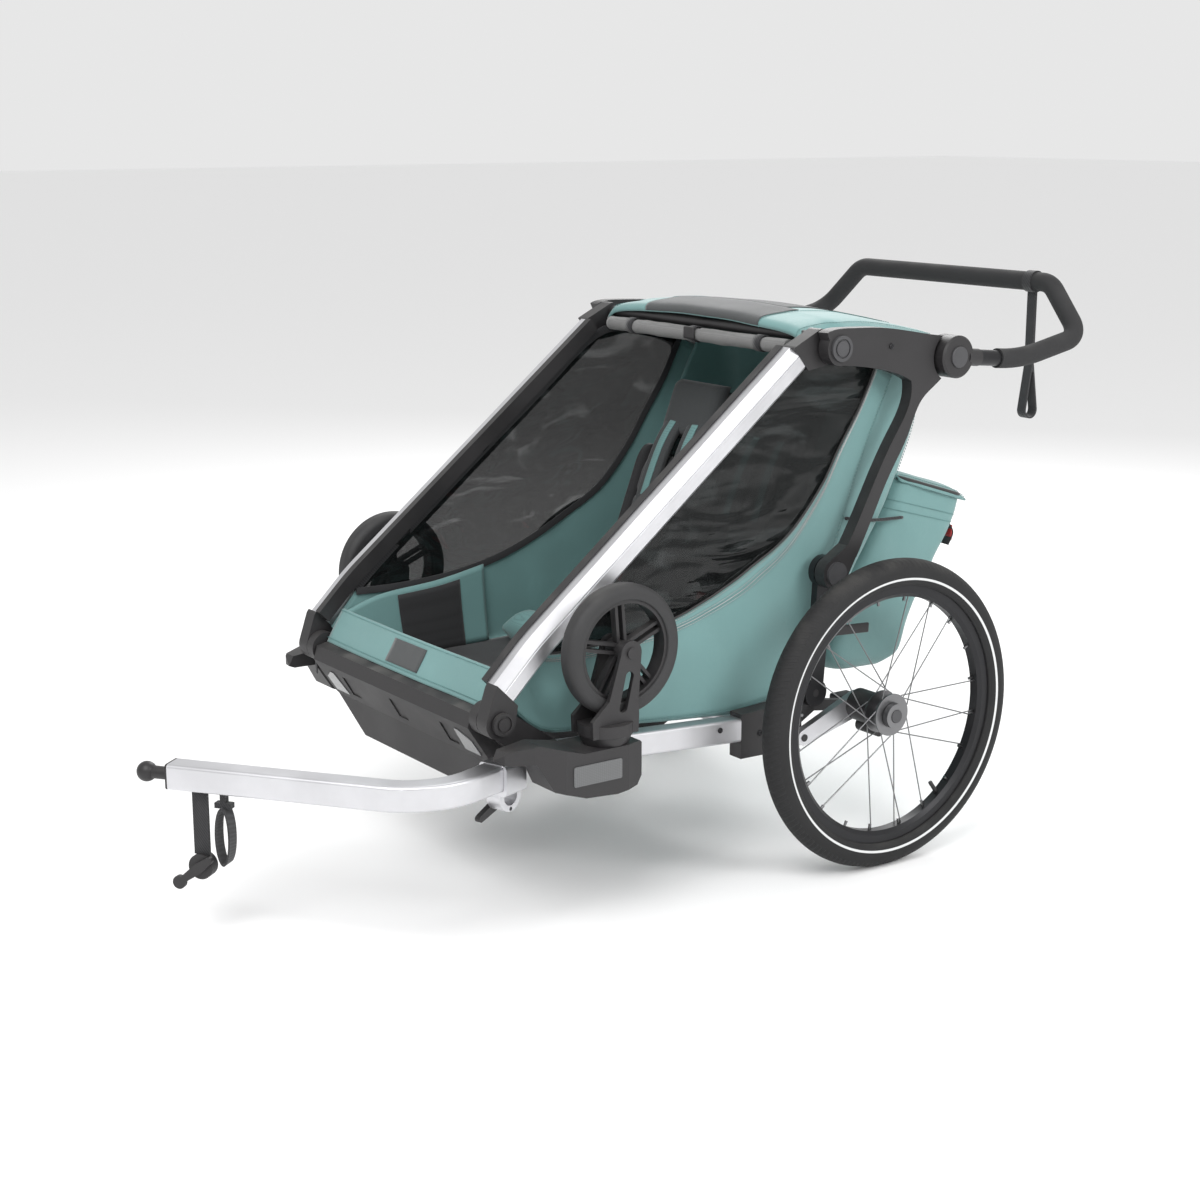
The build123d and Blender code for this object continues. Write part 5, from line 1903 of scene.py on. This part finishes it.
    def build(self) -> None:
        """Make the bag, its rim, reflector loop and elastics, then the lid."""
        rings = self.rings()
        bag = cloth_grid("cargo_bag_cloth", rings, UPWARD, ring=True, thick=0.002)
        paint(bag, "teal")
        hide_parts("cargo_bag")
        rim = cord_mesh("cargo_bag_rim", rings[0], 0.0035, Vector((0, 0.3, 0.95)), loop=True)
        paint(rim, "grey")
        pieces = [bag, rim, self.hem_stitches(rings), self.side_stitches(rings), *self.light_loop(rings[10])]
        pieces += [self.elastic(side) for side in Side]
        for obj in pieces:
            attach(obj, "chassis")
            if obj.name.endswith("elastic"):
                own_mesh(obj)
        self.lid()
        LOG.info("cargo bag: %d pieces", len(pieces) + 2)


# ---------------------------------------------------------------- small fittings


@dataclass
class Fittings:
    """Screws, valves, spoke nipples and the tabs on the struts."""

    nipples: int = 20
    nipple_reach: float = 0.186
    valve: tuple[float, ...] = (0.193, 0.182, 0.172, 0.166)

    def screw(self, name: str, centre: Vector, out: Vector, radius: float, body: str) -> None:
        """A round screw head with a recess, on a body.

        Args:
            name: the piece's name.
            centre: the middle of its seat.
            out: the way it looks.
            radius: the head's radius.
            body: what it moves with.
        """
        out = out.normalized()
        side = out.orthogonal().normalized()
        up = out.cross(side)
        verts, faces, loops = [], [], []
        for share, height in ((1.0, 0.0), (1.0, 0.6), (0.82, 1.0), (0.5, 1.0), (0.45, 0.35)):
            start = len(verts)
            for k in range(18):
                turn = 2 * math.pi * k / 18
                spoke = (side * math.cos(turn) + up * math.sin(turn)) * (radius * share)
                verts.append(centre + spoke + out * height * radius * 0.6)
            loops.append(start)
        for a, b in zip(loops, loops[1:]):
            for k in range(18):
                m = (k + 1) % 18
                faces.append((a + k, a + m, b + m, b + k))
        faces.append(tuple(loops[0] + k for k in reversed(range(18))))
        faces.append(tuple(loops[-1] + k for k in range(18)))
        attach(paint(face_outward(piece(name, verts, faces)), "black_alloy"), body)

    def wheel_pieces(self, side: Side) -> None:
        """Make one wheel's valve and spoke nipples.

        Args:
            side: which side.
        """
        s, name = side.value, side.name.lower()
        body = f"{name}_wheel"
        valve = [
            Vector((s * TRACK_X, AXLE_Y + math.sin(2.5) * r, AXLE_Z + math.cos(2.5) * r)) for r in self.valve
        ]
        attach(paint(cord_mesh(f"{name}_valve", valve, 0.0035, ACROSS, 10), "plastic"), body)
        made = bmesh.new()
        for k in range(self.nipples):
            turn = 2 * math.pi * (k + 0.5) / self.nipples
            x = s * TRACK_X + (0.002 if k % 2 else -0.002)
            reach = self.nipple_reach
            place = Vector((x, AXLE_Y + reach * math.cos(turn), AXLE_Z + reach * math.sin(turn)))
            spin = Vector((0, math.cos(turn), math.sin(turn))).to_track_quat("Z", "Y").to_matrix().to_4x4()
            bmesh.ops.create_cone(
                made, cap_ends=True, segments=8, radius1=0.0026, radius2=0.0020, depth=0.009,
                matrix=Matrix.Translation(place) @ spin,
            )
        mesh = bpy.data.meshes.new(f"{name}_nipples")
        made.to_mesh(mesh)
        made.free()
        nipples = bpy.data.objects.new(f"{name}_nipples", mesh)
        bpy.context.scene.collection.objects.link(nipples)
        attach(paint(nipples, "wire"), body)

    def frame_pieces(self, side: Side) -> None:
        """Make one side's screws and the tab on its strut.

        Args:
            side: which side.
        """
        s, name = side.value, side.name.lower()
        out = Vector((s, 0, 0))
        for k, (back, up) in enumerate(((-430, 8), (-270, 0))):
            self.screw(f"{name}_rail_screw_{k + 1}", at(s * 289.5, back, up - 2), out, 0.0045, "chassis")
        self.screw(f"{name}_bracket_screw", at(s * 289.5, -190, -20), out, 0.005, "chassis")
        self.screw(f"{name}_shoulder_screw", at(s * 313.8, 40, 572), out, 0.0045, "rear_frame")
        size, ahead = Vector((0.006, 0.11, 0.016)), Vector((0, 0.11, -0.006))
        tab = block(f"{name}_strut_tab", at(s * 284, -18, 120), size, ahead, edge=0.002)
        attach(paint(tab, "plastic"), "chassis")

    def build(self) -> None:
        """Make the fittings of both sides."""
        for side in Side:
            self.wheel_pieces(side)
            self.frame_pieces(side)
        LOG.info("fittings")


# ---------------------------------------------------------------- studio


def light(name: str, place: Vector, aim: Vector, size: float, power: float) -> None:
    """A soft square lamp.

    Args:
        name: the lamp's name.
        place: where it stands.
        aim: what it points at.
        size: its side.
        power: its power in watts.
    """
    data = bpy.data.lights.new(name, "AREA")
    data.size = size
    data.energy = power
    lamp = bpy.data.objects.new(name, data)
    turned = (aim - place).to_track_quat("-Z", "Y").to_matrix().to_4x4()
    lamp.matrix_world = Matrix.Translation(place) @ turned
    bpy.context.scene.collection.objects.link(lamp)


def camera() -> None:
    """The camera, in front of the trailer and to its left."""
    azimuth, elevation = math.radians(54.84), math.radians(13.27)
    level = math.cos(elevation)
    ahead = -Vector((math.sin(azimuth) * level, -math.cos(azimuth) * level, math.sin(elevation)))
    data = bpy.data.cameras.new("camera")
    data.lens = 61.98
    data.sensor_width = 36.0
    data.clip_end = 200.0
    made = bpy.data.objects.new("camera", data)
    place = Vector((2.6807, AXLE_Y - 2.1805, 1.1751))
    made.matrix_world = Matrix.Translation(place) @ ahead.to_track_quat("-Z", "Y").to_matrix().to_4x4()
    bpy.context.scene.collection.objects.link(made)
    bpy.context.scene.camera = made


def studio() -> None:
    """The pale floor, the soft lamps and the camera."""
    corners = side_view(((-40, -40), (40, -40), (40, 40), (-40, 40)))
    floor = piece("floor", corners, [(0, 1, 2, 3)])
    material = bpy.data.materials.new("pale_floor")
    material.use_nodes = True
    shader = material.node_tree.nodes["Principled BSDF"]
    shader.inputs["Base Color"].default_value = (0.94, 0.94, 0.94, 1)
    shader.inputs["Roughness"].default_value = 0.9
    shader.inputs["Specular IOR Level"].default_value = 0.1
    floor.data.materials.append(material)
    world = bpy.data.worlds.new("studio")
    bpy.context.scene.world = world
    world.use_nodes = True
    world.node_tree.nodes["Background"].inputs[0].default_value = (1, 1, 1, 1)
    world.node_tree.nodes["Background"].inputs[1].default_value = 0.8
    light("key", Vector((1.6, -2.2, 3.2)), Vector((0, 0, 0.4)), 2.0, 85)
    light("side", Vector((3.4, 0.9, 2.2)), Vector((0, 0, 0.4)), 1.4, 55)
    light("rim", Vector((-2.0, 2.2, 2.6)), Vector((0, 0, 0.5)), 1.6, 60)
    camera()
    bpy.context.scene.view_settings.view_transform = "Standard"


def dress_frame() -> None:
    """Give every hard piece its finish."""
    both = [f"{side.name.lower()}_" for side in Side]
    dress("silver", "front_arms")
    dress("silver_level", "base_tubes", "tow_arm", "tow_arm_socket", *[s + "suspension_arm" for s in both])
    dress("plastic", "corner_brackets", "front_hinge_housings", "arm_knuckles", "arm_trims", "shoulder_frame")
    dress(
        "plastic", "handlebar_hubs", "hitch_ball", "hitch_cup", "hitch_lever", "tow_lock_lever",
        "brake_pedal",
    )
    moulded = ("wing", "axle_housing", "caster_housing", "caster_fork", "caster_wheel")
    dress("plastic", *[s + n for s in both for n in moulded])
    dress("shell", "front_bumper")
    dress(
        "grey_caps", "pivot_pins",
        *[s + n for s in both for n in ("wing_button", "handle_button", "hub_button")],
    )
    dress("black_alloy", "lower_struts", "handlebar_tube", *[s + "rim" for s in both])
    dress("foam", "handlebar_grip")
    dress("hub", *[s + "hub" for s in both])
    dress("wire", *[s + "spokes" for s in both])
    dress("tyre", *[s + "tyre" for s in both])
    dress("caster_tyre", *[s + "caster_tyre" for s in both])
    dress("webbing", "wrist_strap", "hitch_strap")
    dress("reflector", "reflectors")


def main() -> None:
    """Build the trailer's pieces in order, from the frame outwards."""
    logging.basicConfig(level=logging.INFO, format="%(name)s: %(message)s")
    dress_frame()
    for side in Side:
        SidePanel(side).build()
    Roof().build()
    CoverRoll().build()
    BackCover().build()
    for side in Side:
        Seat(side).build()
    Footwell().build()
    CargoBag().build()
    Fittings().build()
    studio()


if __name__ == "__main__":
    main()
